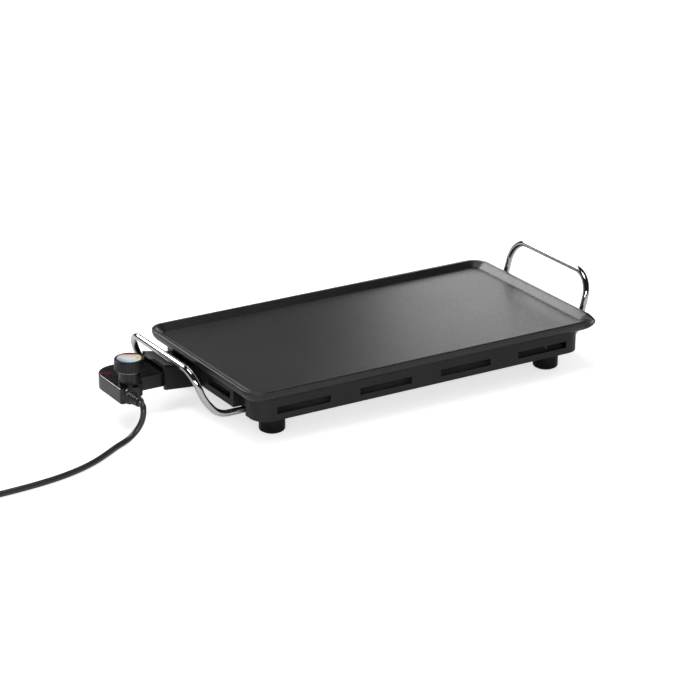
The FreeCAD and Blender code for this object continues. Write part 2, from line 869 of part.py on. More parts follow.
def feet():
    """Four turned feet, each with a rubber pad in its underside and a screw up through it."""
    radius = d.foot_diameter / 2
    pads = []
    for name, (x, y) in zip(FOOT_NAMES, FEET):
        post = cylinder("post", radius, (x, y, d.pad_drop + d.foot_edge), foot_height())
        edge = document.addObject("Part::Torus", "edge")
        bind(edge, "Radius1", radius - d.foot_edge)
        bind(edge, "Radius2", d.foot_edge)
        place(edge, x, y, d.pad_drop + d.foot_edge)
        sole = cylinder("sole", radius - d.foot_edge, (x, y, d.pad_drop), d.foot_edge)
        recess = cylinder(
            "recess", d.pad_diameter / 2 + d.running_gap, (x, y, 0), d.pad_thick + d.running_gap
        )
        well = cylinder("well", d.screw_head / 2 + d.head_gap, (x, y, 0), well_depth())
        bore = cylinder("bore", drill, (x, y, 0), d.base_bottom)
        node(name, cut(name, fuse("foot_blank", post, edge, sole), recess, well, bore))
        disc = cylinder("disc", d.pad_diameter / 2, (x, y, 0), d.pad_thick)
        hole = cylinder("hole", d.screw_head / 2 + d.head_gap, (x, y, 0), d.pad_thick)
        pads.append(cut("pad", disc, hole))
    node("foot_pads", together("foot_pads", *pads))
    seat = well_depth()
    screws("foot_screws", [(x, y, seat) for x, y in FEET], cover_top + FOOT_SCREW_END - seat)


def foot_height():
    return d.base_bottom - d.pad_drop - d.foot_edge


def well_depth():
    """How far up the head of a foot's screw sits."""
    return d.base_bottom - d.foot_well


def reflector():
    """A folded tray under the element on four spacers."""
    body = new_body("reflector_pan")
    bottom = cover_top + d.spacer_height
    outline = sketch(body, "tray_outline", "XY", bottom)
    length, width = 2 * d.reflector_end, 2 * d.reflector_side
    rounded_rectangle(outline, length, width, d.reflector_corner)
    top = plate_under - d.reflector_gap
    block = pad(body, outline, top - bottom)
    fillet(body, block, d.reflector_fold, level_edge(bottom))
    inside = sketch(body, "tray_inside", "XY", top)
    thick = d.reflector_wall
    rounded_rectangle(inside, length - 2 * thick, width - 2 * thick, d.reflector_corner - thick)
    pocket(body, inside, top - bottom - thick)
    holes = sketch(body, "tray_holes", "XY", bottom + d.reflector_wall)
    for x, y in SPACERS:
        circle(holes, x, y, drill)
    pocket(body, holes, 2 * d.reflector_wall)
    node("reflector_pan", body)

    posts = []
    for x, y in SPACERS:
        post = cylinder("post", d.spacer_diameter / 2, (x, y, cover_top), d.spacer_height)
        bore = cylinder("bore", drill, (x, y, cover_top), d.spacer_height)
        posts.append(cut("spacer", post, bore))
    node("pan_spacers", together("pan_spacers", *posts))
    seats = [(x, y, bottom + d.reflector_wall) for x, y in SPACERS]
    screws("pan_screws", seats, d.spacer_height + d.cover_thick + PAN_SCREW_END, upwards=False)


def heating_element():
    """One sheathed tube, bent into two hairpins that hang under the plate between its
    terminals, and the straps that hold it."""
    outer_x, outer_y = d.element_outer_x, d.element_outer_y
    inner_x, inner_y = d.element_inner_x, d.element_inner_y
    top, low, end = element_level, d.inlet_height, -d.element_end
    near, far = d.inlet_y + pin_side, d.inlet_y - pin_side
    points = [
        (end, near, low),
        (end + 14, near, low),
        (end + 38, near, top),
        (end + 62, near, top),
        (end + 98, outer_y, top),
        (outer_x, outer_y, top),
        (outer_x, -outer_y, top),
        (-outer_x, -outer_y, top),
        (-outer_x, -inner_y, top),
        (inner_x, -inner_y, top),
        (inner_x, inner_y, top),
        (end + 76, inner_y, top),
        (end + 62, far, top),
        (end + 38, far, top),
        (end + 14, far, low),
        (end, far, low),
    ]

    def bend(before, after, turn):
        return min(d.element_bend.value, 0.45 * min(before, after) / math.tan(turn / 2))

    node("heating_element", swept("heating_element", points, element_radius, bend))

    half = d.strap_width / 2
    bore = element_radius + d.strap_gap
    straps = []
    for x, y in STRAPS:
        ear_level = plate_under - d.strap_thick
        ear_span = (y - d.strap_length / 2, y + d.strap_length / 2)
        along = (x - half, x + half)
        past = (x - half - 1, x + half + 1)
        hoop = cylinder(
            "hoop", bore + d.strap_thick, (along[0], y, element_level), d.strap_width, "x"
        )
        ears = box("ears", along, ear_span, (ear_level, plate_under))
        hole = cylinder("hole", bore, (past[0], y, element_level), d.strap_width + 2, "x")
        above = box("above", past, (y - bore, y + bore), (element_level, plate_under))
        over = box("over", past, ear_span, (plate_under, plate_under + d.element_diameter))
        drills = [
            cylinder("drill", drill, (x, y + side * d.strap_hole_side, ear_level - 1), 2 * d.strap_thick)
            for side in (-1, 1)
        ]
        straps.append(cut("strap", fuse("strap_blank", hoop, ears), hole, above, over, *drills))
    node("element_straps", together("element_straps", *straps))
    seats = [(x, y, plate_under - d.strap_thick) for x, y in STRAP_SCREWS]
    screws("strap_screws", seats, d.strap_thick + STRAP_SCREW_DEPTH - SCREW_CLEAR)


def inlet():
    """The terminal block in the left wall, its two pins, and the block under the plate that
    the probe slides into."""
    span_y, span_z = inlet_block_size(0)
    outside, inside = -end_wall - d.block_outside, -end_wall + d.block_inside
    block = box("block", (outside, inside), span_y, span_z)
    through = (outside - 1, d.block_outside + d.block_inside + 2)
    pin_bore = d.pin_diameter / 2 + d.running_gap
    bores = [
        cylinder("bore", pin_bore, (through[0], d.inlet_y + side * pin_side, d.inlet_height), through[1], "x")
        for side in (-1, 1)
    ]
    probe_bore = d.probe_diameter / 2 + d.head_gap
    bores.append(
        cylinder("probe_bore", probe_bore, (through[0], d.inlet_y, d.inlet_height), through[1], "x")
    )
    node("terminal_block", cut("terminal_block", block, *bores))

    pins = []
    for side in (-1, 1):
        y = d.inlet_y + side * pin_side
        root, tip = -d.pin_reach + d.pin_nose, -d.pin_reach
        shaft_length = d.pin_reach - d.pin_nose - d.pin_inner_end
        radius = d.pin_diameter / 2
        shaft = cylinder("shaft", radius, (root, y, d.inlet_height), shaft_length, "x")
        nose = cone("nose", radius - 1, radius, (tip, y, d.inlet_height), d.pin_nose, "x")
        pins.append(fuse("pin", shaft, nose))
    node("terminal_pins", together("terminal_pins", *pins))

    near, far = -d.guide_start, -d.probe_tip + d.guide_wall
    half = d.guide_width / 2
    guide = box(
        "guide", (near, far), (d.inlet_y - half, d.inlet_y + half), (d.inlet_height - d.guide_drop, plate_under)
    )
    slide = d.probe_diameter / 2 + d.running_gap
    bore = cylinder(
        "bore", slide, (near - 1, d.inlet_y, d.inlet_height), d.guide_start - d.probe_tip + 1 + d.loose_gap, "x"
    )
    mouth = cone("mouth", slide + 1.5, slide, (near, d.inlet_y, d.inlet_height), 2.5, "x")
    node("probe_guide", cut("probe_guide", guide, bore, mouth))


def socket_hood():
    """The hood round the inlet: a roof that rises outwards from under the plate's flare and
    two cheeks, open below and at its end."""
    body = new_body("socket_hood")
    side = sketch(body, "hood_side", "XZ", -d.inlet_y)
    root = end_wall + d.hood_root
    roof = plate_bottom - 2 * d.loose_gap
    polygon(
        side,
        [
            (-end_wall, d.base_bottom + 2 * d.loose_gap),
            (-end_wall, roof),
            (-root, roof),
            (-d.hood_reach, d.hood_top),
            (-d.hood_reach, d.hood_low),
        ],
    )
    solid = pad(body, side, d.hood_width, both_ways=True)
    slope = d.hood_reach.value - root.value
    fillet(
        body,
        solid,
        d.hood_edge,
        lambda edge: edge.BoundBox.XLength > 0.9 * slope and edge.BoundBox.YLength < 0.01
        and edge.BoundBox.ZMax > d.hood_top.value - 0.1,
    )
    inside = sketch(body, "hood_inside", "XZ", -d.inlet_y)
    back = end_wall + d.hood_back
    polygon(
        inside,
        [
            (-back, 0),
            (-back, roof - d.hood_roof),
            (-root - 6, roof - d.hood_roof + 2),
            (-d.hood_reach - 1, d.hood_top - d.hood_roof - 2),
            (-d.hood_reach - 1, 0),
        ],
    )
    pocket(body, inside, d.hood_width - 2 * d.hood_side, both_ways=True)
    window = sketch(body, "hood_window", "YZ", -end_wall)
    rectangle(window, *inlet_block_size(d.loose_gap))
    pocket(body, window, 3 * d.hood_back, both_ways=True)
    node("socket_hood", body)


HANDLES = {
    "handle_left": (
        -1,
        [
            (d.left_knee_x, d.leg_height),
            (d.left_rise_x, d.left_rise_height),
            (d.left_grip_x, d.left_grip_height),
        ],
    ),
    "handle_right": (
        1,
        [
            (d.right_knee_x, d.leg_height),
            (d.right_rise_x, d.right_rise_height),
            (d.right_grip_x, d.right_grip_height),
        ],
    ),
}


def handles():
    """A bent wire handle at each end and the clips that hold its legs inside the base."""
    half = d.clip_length / 2
    clip_top = d.leg_height + d.clip_wall
    clips = []

    def bend(before, after, turn):
        wanted = d.grip_bend.value if max(before, after) > leg_spread.value else d.leg_bend.value
        return min(wanted, 0.47 * min(before, after) / math.tan(turn / 2))

    for name, (end, profile) in HANDLES.items():
        points = []
        for back in (-1, 1):
            leg = [(end * (d.clip_x - half), back * leg_spread, d.leg_height)]
            leg += [(end * x, back * leg_spread, z) for x, z in profile]
            points += leg if back < 0 else leg[::-1]
        node(name, swept(name, points, d.wire_diameter / 2, bend))
        for back in (-1, 1):
            x, y = end * d.clip_x, back * leg_spread
            span = (y - d.clip_width / 2, y + d.clip_width / 2)
            block = box("block", (x - half, x + half), span, (cover_top, clip_top))
            radius = d.wire_diameter / 2 + d.running_gap
            bore = cylinder("bore", radius, (x - half - 1, y, d.leg_height), d.clip_length + 2, "x")
            drills = [
                cylinder("drill", drill, (x, y + side * d.clip_hole_side, cover_top), clip_top - cover_top)
                for side in (-1, 1)
            ]
            clips.append(cut("clip", block, bore, *drills))
    node("handle_clips", together("handle_clips", *clips))
    seats = [(x, y, clip_top) for x, y in CLIP_SCREWS]
    screws("handle_screws", seats, clip_top - d.base_bottom - SCREW_CLEAR, upwards=False)


def housing_outline(drawing):
    """The plan of the thermostat: a head across the left end and an arm into the hood."""
    low, high = d.inlet_y - d.arm_width / 2, d.inlet_y + d.arm_width / 2
    polygon(
        drawing,
        [
            (-d.arm_tip, low),
            (-d.knob_x + d.head_neck, low),
            (-d.knob_x + d.head_neck, low - 12),
            (-d.knob_x + 4, d.head_front + 6),
            (-d.knob_x + 4, d.head_front),
            (-d.head_reach, d.head_front),
            (-d.head_reach, d.head_back),
            (-d.knob_x + 18, d.head_back),
            (-d.knob_x + 24, high),
            (-d.arm_tip, high),
        ],
    )


HOUSING_SCREWS = [
    (-d.housing_screw_x, d.inlet_y - 15.5),
    (-d.housing_screw_x, d.inlet_y + 15.5),
    (-d.head_screw_x, d.head_screw_y),
]
HOUSING_SCREW_DEPTH = 6.0


def housing_shell(name, low, high, floor_below):
    """One half of the moulded housing, hollow from the split line."""
    body = new_body(name)
    outline = sketch(body, name + "_outline", "XY", low)
    housing_outline(outline)
    solid = pad(body, outline, high - low)
    corner = fillet(body, solid, d.head_corner, upright_edge(-d.head_reach, d.head_back))
    small = fillet(body, corner, d.head_edge, upright_edge(-d.head_reach, d.head_front))
    outer = low if floor_below else high
    fillet(body, small, d.housing_edge, level_edge(outer))
    split = high if floor_below else low
    inside = sketch(body, name + "_inside", "XY", split)
    wall = d.housing_wall
    arm_low = d.inlet_y - d.arm_width / 2 + wall
    arm_high = d.inlet_y + d.arm_width / 2 - wall
    polygon(
        inside,
        [
            (-d.arm_tip - wall, arm_low),
            (-d.knob_x + 10, arm_low),
            (-d.knob_x + 10, d.knob_y),
            (-d.knob_x + 1.5, d.knob_y - 8),
            (-d.knob_x + 1.5, d.head_front + wall + 1),
            (-d.head_reach + wall, d.head_front + wall + 1),
            (-d.head_reach + wall, d.head_stop_y),
            (-d.knob_x + 10, d.head_stop_y),
            (-d.knob_x + 10, arm_high),
            (-d.arm_tip - wall, arm_high),
        ],
    )
    pocket(body, inside, high - low - wall, backwards=not floor_below)
    tip = sketch(body, name + "_tip_holes", "YZ", -d.arm_tip)
    for side in (-1, 1):
        circle(tip, d.inlet_y + side * pin_side, d.inlet_height, d.sleeve_diameter / 2 + d.loose_gap)
    circle(tip, d.inlet_y, d.inlet_height, d.probe_diameter / 2 + d.running_gap)
    pocket(body, tip, 3 * wall, both_ways=True)
    exit_hole = sketch(body, name + "_cord_exit", "XZ", -d.head_front)
    circle(exit_hole, -d.relief_x, d.housing_split, d.relief_neck / 2 + d.running_gap)
    pocket(body, exit_hole, 4 * wall, both_ways=True)
    drills = sketch(body, name + "_drills", "XY", low)
    for x, y in HOUSING_SCREWS:
        circle(drills, x, y, drill)
    depth = high - low if floor_below else HOUSING_SCREW_DEPTH
    pocket(body, drills, depth, backwards=True)
    return body


def housing():
    lower = housing_shell("housing_lower", d.housing_bottom, d.housing_split, True)
    node("housing_lower", lower)

    upper = housing_shell("housing_upper", d.housing_split, d.housing_top, False)
    stem = sketch(upper, "pedestal", "XY", d.housing_top - 1)
    circle(stem, -d.knob_x, d.knob_y, d.pedestal_diameter / 2)
    pad(upper, stem, d.pedestal_top - d.housing_top + 1)
    bore = sketch(upper, "spindle_bore", "XY", d.pedestal_top)
    circle(bore, -d.knob_x, d.knob_y, d.spindle_diameter / 2 + d.running_gap)
    pocket(upper, bore, d.pedestal_top - d.housing_split)
    window = sketch(upper, "lens_hole", "XY", d.housing_top)
    circle(window, -d.lens_x, d.lens_y, d.lens_diameter / 2 + d.running_gap)
    pocket(upper, window, 2 * d.housing_wall)
    node("housing_upper", upper)

    seats = [(x, y, d.housing_bottom) for x, y in HOUSING_SCREWS]
    screws("housing_screws", seats, d.housing_split - d.housing_bottom + HOUSING_SCREW_DEPTH - 1)

    ring = cylinder("ring", d.collar_diameter / 2, (-d.knob_x, d.knob_y, collar_bottom), d.collar_thick)
    hole = cylinder(
        "hole",
        d.spindle_diameter / 2 + d.running_gap,
        (-d.knob_x, d.knob_y, collar_bottom),
        d.collar_thick,
    )
    node("knob_collar", cut("knob_collar", ring, hole))

    lens_place = (-d.lens_x, d.lens_y, d.housing_top - d.housing_wall)
    pill = cylinder("pill", d.lens_diameter / 2, lens_place, d.housing_wall + d.lens_proud)
    well = cylinder("well", d.lens_diameter / 2 - 1.2, lens_place, d.housing_wall - d.lens_proud)
    node("pilot_lens", cut("pilot_lens", pill, well))
    lamp_place = (-d.lens_x, d.lens_y, d.housing_bottom + d.housing_wall)
    lamp = cylinder("lamp", d.lamp_diameter / 2, lamp_place, d.lamp_length)
    node("pilot_lamp", together("pilot_lamp", lamp))


def thermostat_insides():
    """The probe, the sleeves that take the pins and the switch that the spindle turns."""
    centre = (d.inlet_y, d.inlet_height)
    radius = d.probe_diameter / 2
    rod_length = d.probe_root - d.probe_tip - 2
    rod = cylinder("rod", radius, (-d.probe_root, *centre), rod_length, "x")
    tip = cone("tip", radius, radius - 1.2, (-d.probe_tip - 2, *centre), 2, "x")
    node("probe_rod", fuse("probe_rod", rod, tip))

    sleeve_radius = d.sleeve_diameter / 2
    bore_end = d.pin_reach + 4
    back = -d.sleeve_end - 1
    through = d.sleeve_end + 2 - d.arm_tip
    sleeves = []
    holes = []
    for side in (-1, 1):
        place_y = (d.inlet_y + side * pin_side, d.inlet_height)
        outside = cylinder(
            "outside", sleeve_radius, (-d.sleeve_end, *place_y), d.sleeve_end - d.arm_tip - d.loose_gap, "x"
        )
        slide = d.pin_diameter / 2 + d.running_gap
        inside = cylinder("inside", slide, (-bore_end, *place_y), bore_end - d.arm_tip, "x")
        sleeves.append(cut("sleeve", outside, inside))
        holes.append(cylinder("seat", sleeve_radius + d.running_gap, (back, *place_y), through, "x"))
    node("contact_sleeves", together("contact_sleeves", *sleeves))
    half = d.arm_width / 2 - d.housing_wall - d.loose_gap
    block = box(
        "block",
        (-d.sleeve_end, -d.arm_tip - d.housing_wall - d.loose_gap),
        (d.inlet_y - half, d.inlet_y + half),
        (d.housing_bottom + d.housing_wall, d.housing_top - d.housing_wall - d.loose_gap),
    )
    holes.append(cylinder("probe_seat", radius + d.running_gap, (back, *centre), through, "x"))
    node("contact_block", cut("contact_block", block, *holes))

    switch = box(
        "switch",
        (-d.knob_x - 16, -d.knob_x + 1.2),
        (d.knob_y - 10, d.knob_y + 18),
        (d.housing_bottom + d.housing_wall, d.housing_split + 2),
    )
    node("switch_block", together("switch_block", switch))


def knob():
    """The knob: a fluted skirt with a hub, a dial set into its top and its spindle."""
    body = new_body("knob")
    outline = sketch(body, "knob_profile", "XZ")
    radius = d.knob_diameter / 2
    hub = d.spindle_diameter / 2 + 3
    bore = d.spindle_diameter / 2 + d.running_gap
    roof = knob_top - d.dial_thick - d.knob_roof
    polygon(
        outline,
        [
            (bore, knob_bottom),
            (hub, knob_bottom),
            (hub, roof),
            (radius - d.knob_wall, roof),
            (radius - d.knob_wall, knob_bottom),
            (radius, knob_bottom),
            (radius - 0.5, knob_top - 0.8),
            (radius - 1.3, knob_top),
            (d.dial_diameter / 2 + d.running_gap, knob_top),
            (d.dial_diameter / 2 + d.running_gap, knob_top - d.dial_thick),
            (bore, knob_top - d.dial_thick),
        ],
    )
    revolve(body, outline)
    flute = sketch(body, "knob_flute", "XY", knob_bottom)
    circle(flute, radius + d.flute_offset, 0, d.flute_radius)
    groove = pocket(body, flute, d.knob_height - 2.5, backwards=True)
    document.recompute()
    pattern = body.newObject("PartDesign::PolarPattern", "knob_flutes")
    pattern.Originals = [groove]
    pattern.Axis = (flute, ["N_Axis"])
    pattern.Angle = 360
    bind(pattern, "Occurrences", d.knob_flutes)
    body.Tip = pattern
    bind(body, "Placement.Base.y", d.knob_y)
    node("knob", body)
    bind(body, "Placement.Base.x", base_x - d.knob_x)

    centre = (-d.knob_x, d.knob_y)
    disc = cylinder("disc", d.dial_diameter / 2, (*centre, knob_top - d.dial_thick), d.dial_thick)
    node("dial_disc", together("dial_disc", disc))
    low = d.housing_split + 2.3
    shaft = cylinder("shaft", d.spindle_diameter / 2, (*centre, low), knob_top - d.dial_thick - low)
    node("spindle", together("spindle", shaft))


# The cord's free stretch by hand, from the strain relief down to the table and out to the coil.
CORD = [
    (-334.0, -26.0, 41.0),
    (-334.0, -33.0, 41.0),
    (-333.4, -37.7, 35.0),
    (-333.2, -37.5, 25.5),
    (-337.0, -36.0, 16.0),
    (-346.5, -36.5, 7.5),
    (-360.0, -40.5, 3.9),
    (-377.0, -49.0, 3.6),
    (-397.0, -62.5, 3.6),
    (-420.0, -76.0, 3.6),
    (-446.0, -86.5, 3.6),
    (-473.0, -93.2, 3.6),
    (-500.0, -96.9, 3.6),
    (-527.0, -98.8, 3.6),
    (-553.0, -99.5, 3.6),
    (-578.0, -99.5, 3.6),
]
# The coil of the rest of the cord: how it winds, its middle on the table and its outer radius.
COIL_TURNS_IN = 3
COIL_TURNS_OUT = 2.75
COIL_RADIUS = 42.0
COIL_STEP = 7.7
COIL_MIDDLE = Vector(-585.0, CORD[-1][1] + COIL_RADIUS, CORD[-1][2])
# The short stretch from the end of the coil to the plug.
TAIL = [
    (-625.075, -50.5, 11.3),
    (-625.075, -39.6, 11.3),
    (-626.0, -27.6, 13.6),
    (-627.6, -15.6, 17.5),
    (-627.6, -4.6, 17.5),
]


def slack_bend(before, after, turn):
    return 0.45 * min(before, after) / math.tan(turn / 2)


def cord():
    """The free stretch, the coil and the short stretch before the plug."""
    for name, route_points in (("mains_cord", CORD), ("cord_tail", TAIL)):
        node(name, swept(name, route_points, d.cord_diameter / 2, slack_bend))

    stations = coil_stations()
    first, last = stations[0], stations[-1]
    straight = d.cord_diameter.value
    edges = [Part.LineSegment(first[0] - first[1] * straight, first[0]).toShape()]
    for (start, along), (end, onwards) in zip(stations, stations[1:]):
        edges += biarc(start, along, end, onwards)
    edges.append(Part.LineSegment(last[0], last[0] + last[1] * straight).toShape())
    wire = Part.Wire(edges)
    coil = document.addObject("Part::Feature", "cord_coil")
    coil.Shape = tube("cord_coil", wire, d.cord_diameter.value / 2)
    print(f"cord_coil: least gap to itself {least_gap(wire):.2f} mm, ends at {last[0]}")
    node("cord_coil", coil)


def coil_stations():
    """Points and directions each quarter turn: in along the table, up a layer in half a turn,
    and out again on top."""
    inner = COIL_RADIUS - COIL_STEP * COIL_TURNS_IN
    climb_end = COIL_TURNS_IN + 0.5
    total = climb_end + COIL_TURNS_OUT

    def at(turns):
        share = min(max((turns - COIL_TURNS_IN) / 0.5, 0), 1)
        if turns <= COIL_TURNS_IN:
            radius = COIL_RADIUS - COIL_STEP * turns
        else:
            drawn_in = 0.25 * math.sin(math.pi * share)
            radius = inner + COIL_STEP * (max(turns - climb_end, 0) - drawn_in)
        rise = COIL_STEP * share * share * (3 - 2 * share)
        angle = -math.pi / 2 - 2 * math.pi * turns
        return COIL_MIDDLE + Vector(radius * math.cos(angle), radius * math.sin(angle), rise)

    stations = []
    count = round(total * 4)
    for step in range(count + 1):
        turns = step / 4
        before = at(max(turns - 0.01, 0))
        after = at(min(turns + 0.01, total))
        stations.append((at(turns), (after - before).normalize()))
    stations[0] = (stations[0][0], Vector(-1, 0, 0))
    stations[-1] = (stations[-1][0], Vector(0, 1, 0))
    return stations


def arc_from(start, along, end):
    """The arc that leaves start in one direction and reaches end."""
    chord = end - start
    away = along - chord * (along.dot(chord) / chord.dot(chord))
    half = along.getAngle(chord)
    middle = start + chord / 2 + away.normalize() * (chord.Length / 2 * math.tan(half / 2))
    return Part.Arc(start, middle, end).toShape()


def biarc(start, along, end, onwards):
    """Two arcs that leave start and reach end in the given directions."""
    span = end - start
    both = along + onwards
    bend = 2 * (1 - along.dot(onwards))
    reach = span.dot(both)
    arm = (-reach + math.sqrt(reach * reach + bend * span.dot(span))) / bend
    joint = (start + along * arm + end - onwards * arm) / 2
    return [arc_from(start, along, joint), arc_from(end, -onwards, joint).reversed()]


def least_gap(wire):
    """The least gap between turns of a tube along a wire, measured on points."""
    spacing = 3.0
    points = wire.discretize(int(wire.Length / spacing))
    apart = int(2.5 * d.cord_diameter.value / spacing)
    closest = min(
        (points[i] - points[j]).Length
        for i in range(len(points))
        for j in range(i + apart, len(points))
    )
    return closest - d.cord_diameter.value


def plug():
    """A moulded two-pin plug lying on the table at the end of the cord."""
    body = new_body("plug_body")
    outline = sketch(body, "plug_profile", "XY")
    x, start, level = TAIL[-1]
    end = start + d.plug_length
    polygon(
        outline,
        [
            (0, start),
            (d.cord_diameter / 2 + 1.7, start),
            (d.cord_diameter / 2 + 2.9, start + 16),
            (d.plug_radius - 5.4, start + 20),
            (d.plug_radius, start + 30),
            (d.plug_radius, end - 1),
            (d.plug_radius - 1, end),
            (0, end),
        ],
    )
    revolve(body, outline)
    bind(body, "Placement.Base.z", level)
    node("plug_body", body)
    bind(body, "Placement.Base.x", base_x + x)
    pins = []
    for side in (-1, 1):
        pin_x = x + side * d.plug_pin_side
        radius = d.plug_pin_diameter / 2
        shaft = cylinder("shaft", radius, (pin_x, end, level), d.plug_pin_length - 1.5, "y")
        nose = cone("nose", radius, radius - 1, (pin_x, end + d.plug_pin_length - 1.5, level), 1.5, "y")
        pins.append(fuse("pin", shaft, nose))
    node("plug_pins", together("plug_pins", *pins))


RELIEF_RIBS = 5


def strain_relief():
    """A ribbed, tapered sleeve turned about the cord, through the front of the head."""
    body = new_body("strain_relief")
    outline = sketch(body, "relief_profile", "XY")
    start = d.head_front
    end = start - d.relief_length
    neck, flange, collar = d.relief_neck / 2, d.relief_flange / 2, d.relief_collar / 2
    root = d.relief_root / 2
    corners = [
        (0, start + 5.4),
        (flange, start + 5.4),
        (flange, start + 3.5),
        (neck, start + 3.5),
        (neck, start),
        (collar, start),
        (collar, start - 2.5),
        (root, start - 2.5),
    ]
    pitch = (d.relief_length - 4.5) / RELIEF_RIBS
    for rib in range(RELIEF_RIBS):
        here = start - 3.5 - pitch * rib
        outer = root - d.relief_taper * rib
        corners += [
            (outer - d.relief_groove, here),
            (outer - d.relief_groove, here - pitch * 0.4),
            (outer, here - pitch * 0.5),
            (outer, here - pitch * 0.95),
        ]
    corners += [(d.cord_diameter / 2 + 1.9, end), (0, end)]
    polygon(outline, corners)
    revolve(body, outline)
    bind(body, "Placement.Base.z", d.housing_split)
    node("strain_relief", body)
    bind(body, "Placement.Base.x", base_x - d.relief_x)


grill_plate()
base_frame()
bottom_plate()
feet()
reflector()
heating_element()
plate_seats = [(x, y, plate_bottom - d.flange_thick) for x, y in PLATE_SCREWS]
screws("plate_screws", plate_seats, d.flange_thick + PLATE_SCREW_DEPTH - 7 * SCREW_CLEAR)
inlet()
socket_hood()
handles()
housing()
thermostat_insides()
knob()
strain_relief()
cord()
plug()
document.recompute()

for thing in document.Objects:
    if "Invalid" in thing.State or "Error" in thing.State:
        raise RuntimeError(f"{thing.Name} did not build: {thing.State}")
for name, thing in nodes.items():
    if thing.Shape.isNull() or not thing.Shape.isValid():
        raise RuntimeError(f"{name} has no valid shape")

os.makedirs("parts", exist_ok=True)
for name, thing in nodes.items():
    thing.Shape.exportStep(f"parts/{name}.step")
print(len(nodes), "nodes")
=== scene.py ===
import math

import bmesh
import bpy
from mathutils import Matrix, Vector


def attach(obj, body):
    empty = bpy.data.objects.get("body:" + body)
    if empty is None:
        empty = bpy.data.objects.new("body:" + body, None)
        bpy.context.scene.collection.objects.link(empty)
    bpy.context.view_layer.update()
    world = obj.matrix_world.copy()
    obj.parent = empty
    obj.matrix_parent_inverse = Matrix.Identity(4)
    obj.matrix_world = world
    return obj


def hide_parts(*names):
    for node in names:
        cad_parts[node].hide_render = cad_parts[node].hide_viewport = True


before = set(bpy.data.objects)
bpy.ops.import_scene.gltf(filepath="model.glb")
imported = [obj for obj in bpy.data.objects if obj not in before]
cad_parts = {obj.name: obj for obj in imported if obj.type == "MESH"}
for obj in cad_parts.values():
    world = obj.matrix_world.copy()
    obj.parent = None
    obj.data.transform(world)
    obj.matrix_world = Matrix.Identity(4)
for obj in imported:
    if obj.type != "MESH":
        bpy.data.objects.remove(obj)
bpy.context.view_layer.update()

# Everything is in metres and stands on the table. MM turns the sizes below, which are written in
# millimetres, into metres. The middle of the base lies a little to the right of the origin,
# because the origin is under the middle of the whole grill.
MM = 0.001
BASE_MIDDLE = Vector((0.038, 0, 0))


def from_base(x, y, z):
    """A point given in millimetres from the middle of the base, on the table."""
    return BASE_MIDDLE + Vector((x, y, z)) * MM


class Signal:
    """A node's output socket that can be used in sums and products."""

    def __init__(self, nodes, socket):
        self.nodes = nodes
        self.socket = socket

    def maths(self, operation, *values):
        return self.nodes.node("ShaderNodeMath", {"operation": operation}, dict(enumerate(values)))

    def __add__(self, other):
        return self.maths("ADD", self, other)

    __radd__ = __add__

    def __sub__(self, other):
        return self.maths("SUBTRACT", self, other)

    def __rsub__(self, other):
        return self.maths("SUBTRACT", other, self)

    def __mul__(self, other):
        return self.maths("MULTIPLY", self, other)

    __rmul__ = __mul__

    def __truediv__(self, other):
        return self.maths("DIVIDE", self, other)

    def clamped(self):
        """The same number kept from 0 to 1."""
        return self.maths("MINIMUM", self.maths("MAXIMUM", self, 0.0), 1.0)

    def size(self):
        """The same number without its sign."""
        return self.maths("ABSOLUTE", self)

    def root(self):
        return self.maths("SQRT", self)

    def above(self, edge, softness):
        """0 below an edge and 1 above it, with a soft step."""
        return ((self - (edge - softness / 2)) / softness).clamped()


class NodeTree:
    """A node tree, and the ways to add nodes to it and join them up."""

    def __init__(self, tree):
        self.tree = tree

    def node(self, kind, settings=None, inputs=None, output=0):
        """Add any node: its settings first, then the values or links of its sockets."""
        made = self.tree.nodes.new(kind)
        for key, value in (settings or {}).items():
            setattr(made, key, value)
        for key, value in (inputs or {}).items():
            self.join(made.inputs[key], value)
        return Signal(self, made.outputs[output])

    def join(self, socket, value):
        if isinstance(value, Signal):
            self.tree.links.new(value.socket, socket)
        elif value is not None:
            socket.default_value = value


class Shading(NodeTree):
    """The nodes of a material or of the world."""

    def place(self, scale=(1, 1, 1), shift=(0, 0, 0)):
        """Object coordinates, scaled and moved."""
        here = self.node("ShaderNodeTexCoord", output="Object")
        return self.node(
            "ShaderNodeMapping", None, {"Vector": here, "Location": shift, "Scale": scale}
        )

    def axes(self, place):
        """The three coordinates of a place as numbers."""
        split = self.tree.nodes.new("ShaderNodeSeparateXYZ")
        self.join(split.inputs[0], place)
        return [Signal(self, socket) for socket in split.outputs]

    def noise(self, scale, detail=2.0, roughness=0.5, place=None):
        return self.node(
            "ShaderNodeTexNoise", None,
            {"Vector": place or self.place(), "Scale": scale, "Detail": detail, "Roughness": roughness},
        )

    def grains(self, scale):
        """The distance to the nearest of many scattered points."""
        return self.node(
            "ShaderNodeTexVoronoi", {"feature": "F1"}, {"Vector": self.place(), "Scale": scale}
        )

    def mix(self, share, first, second):
        """From the first colour to the second."""
        return self.node(
            "ShaderNodeMix", {"data_type": "RGBA"}, {"Factor": share, 6: first, 7: second}, output=2
        )

    def bump(self, height, strength, distance):
        return self.node(
            "ShaderNodeBump", None, {"Height": height, "Strength": strength, "Distance": distance}
        )

    def rays(self, *kinds):
        """1 for a ray of one of these kinds and 0 for any other."""
        path = self.tree.nodes.new("ShaderNodeLightPath")
        found = [Signal(self, path.outputs[f"Is {kind} Ray"]) for kind in kinds]
        total = found[0]
        for one in found[1:]:
            total = total.maths("MAXIMUM", total, one)
        return total


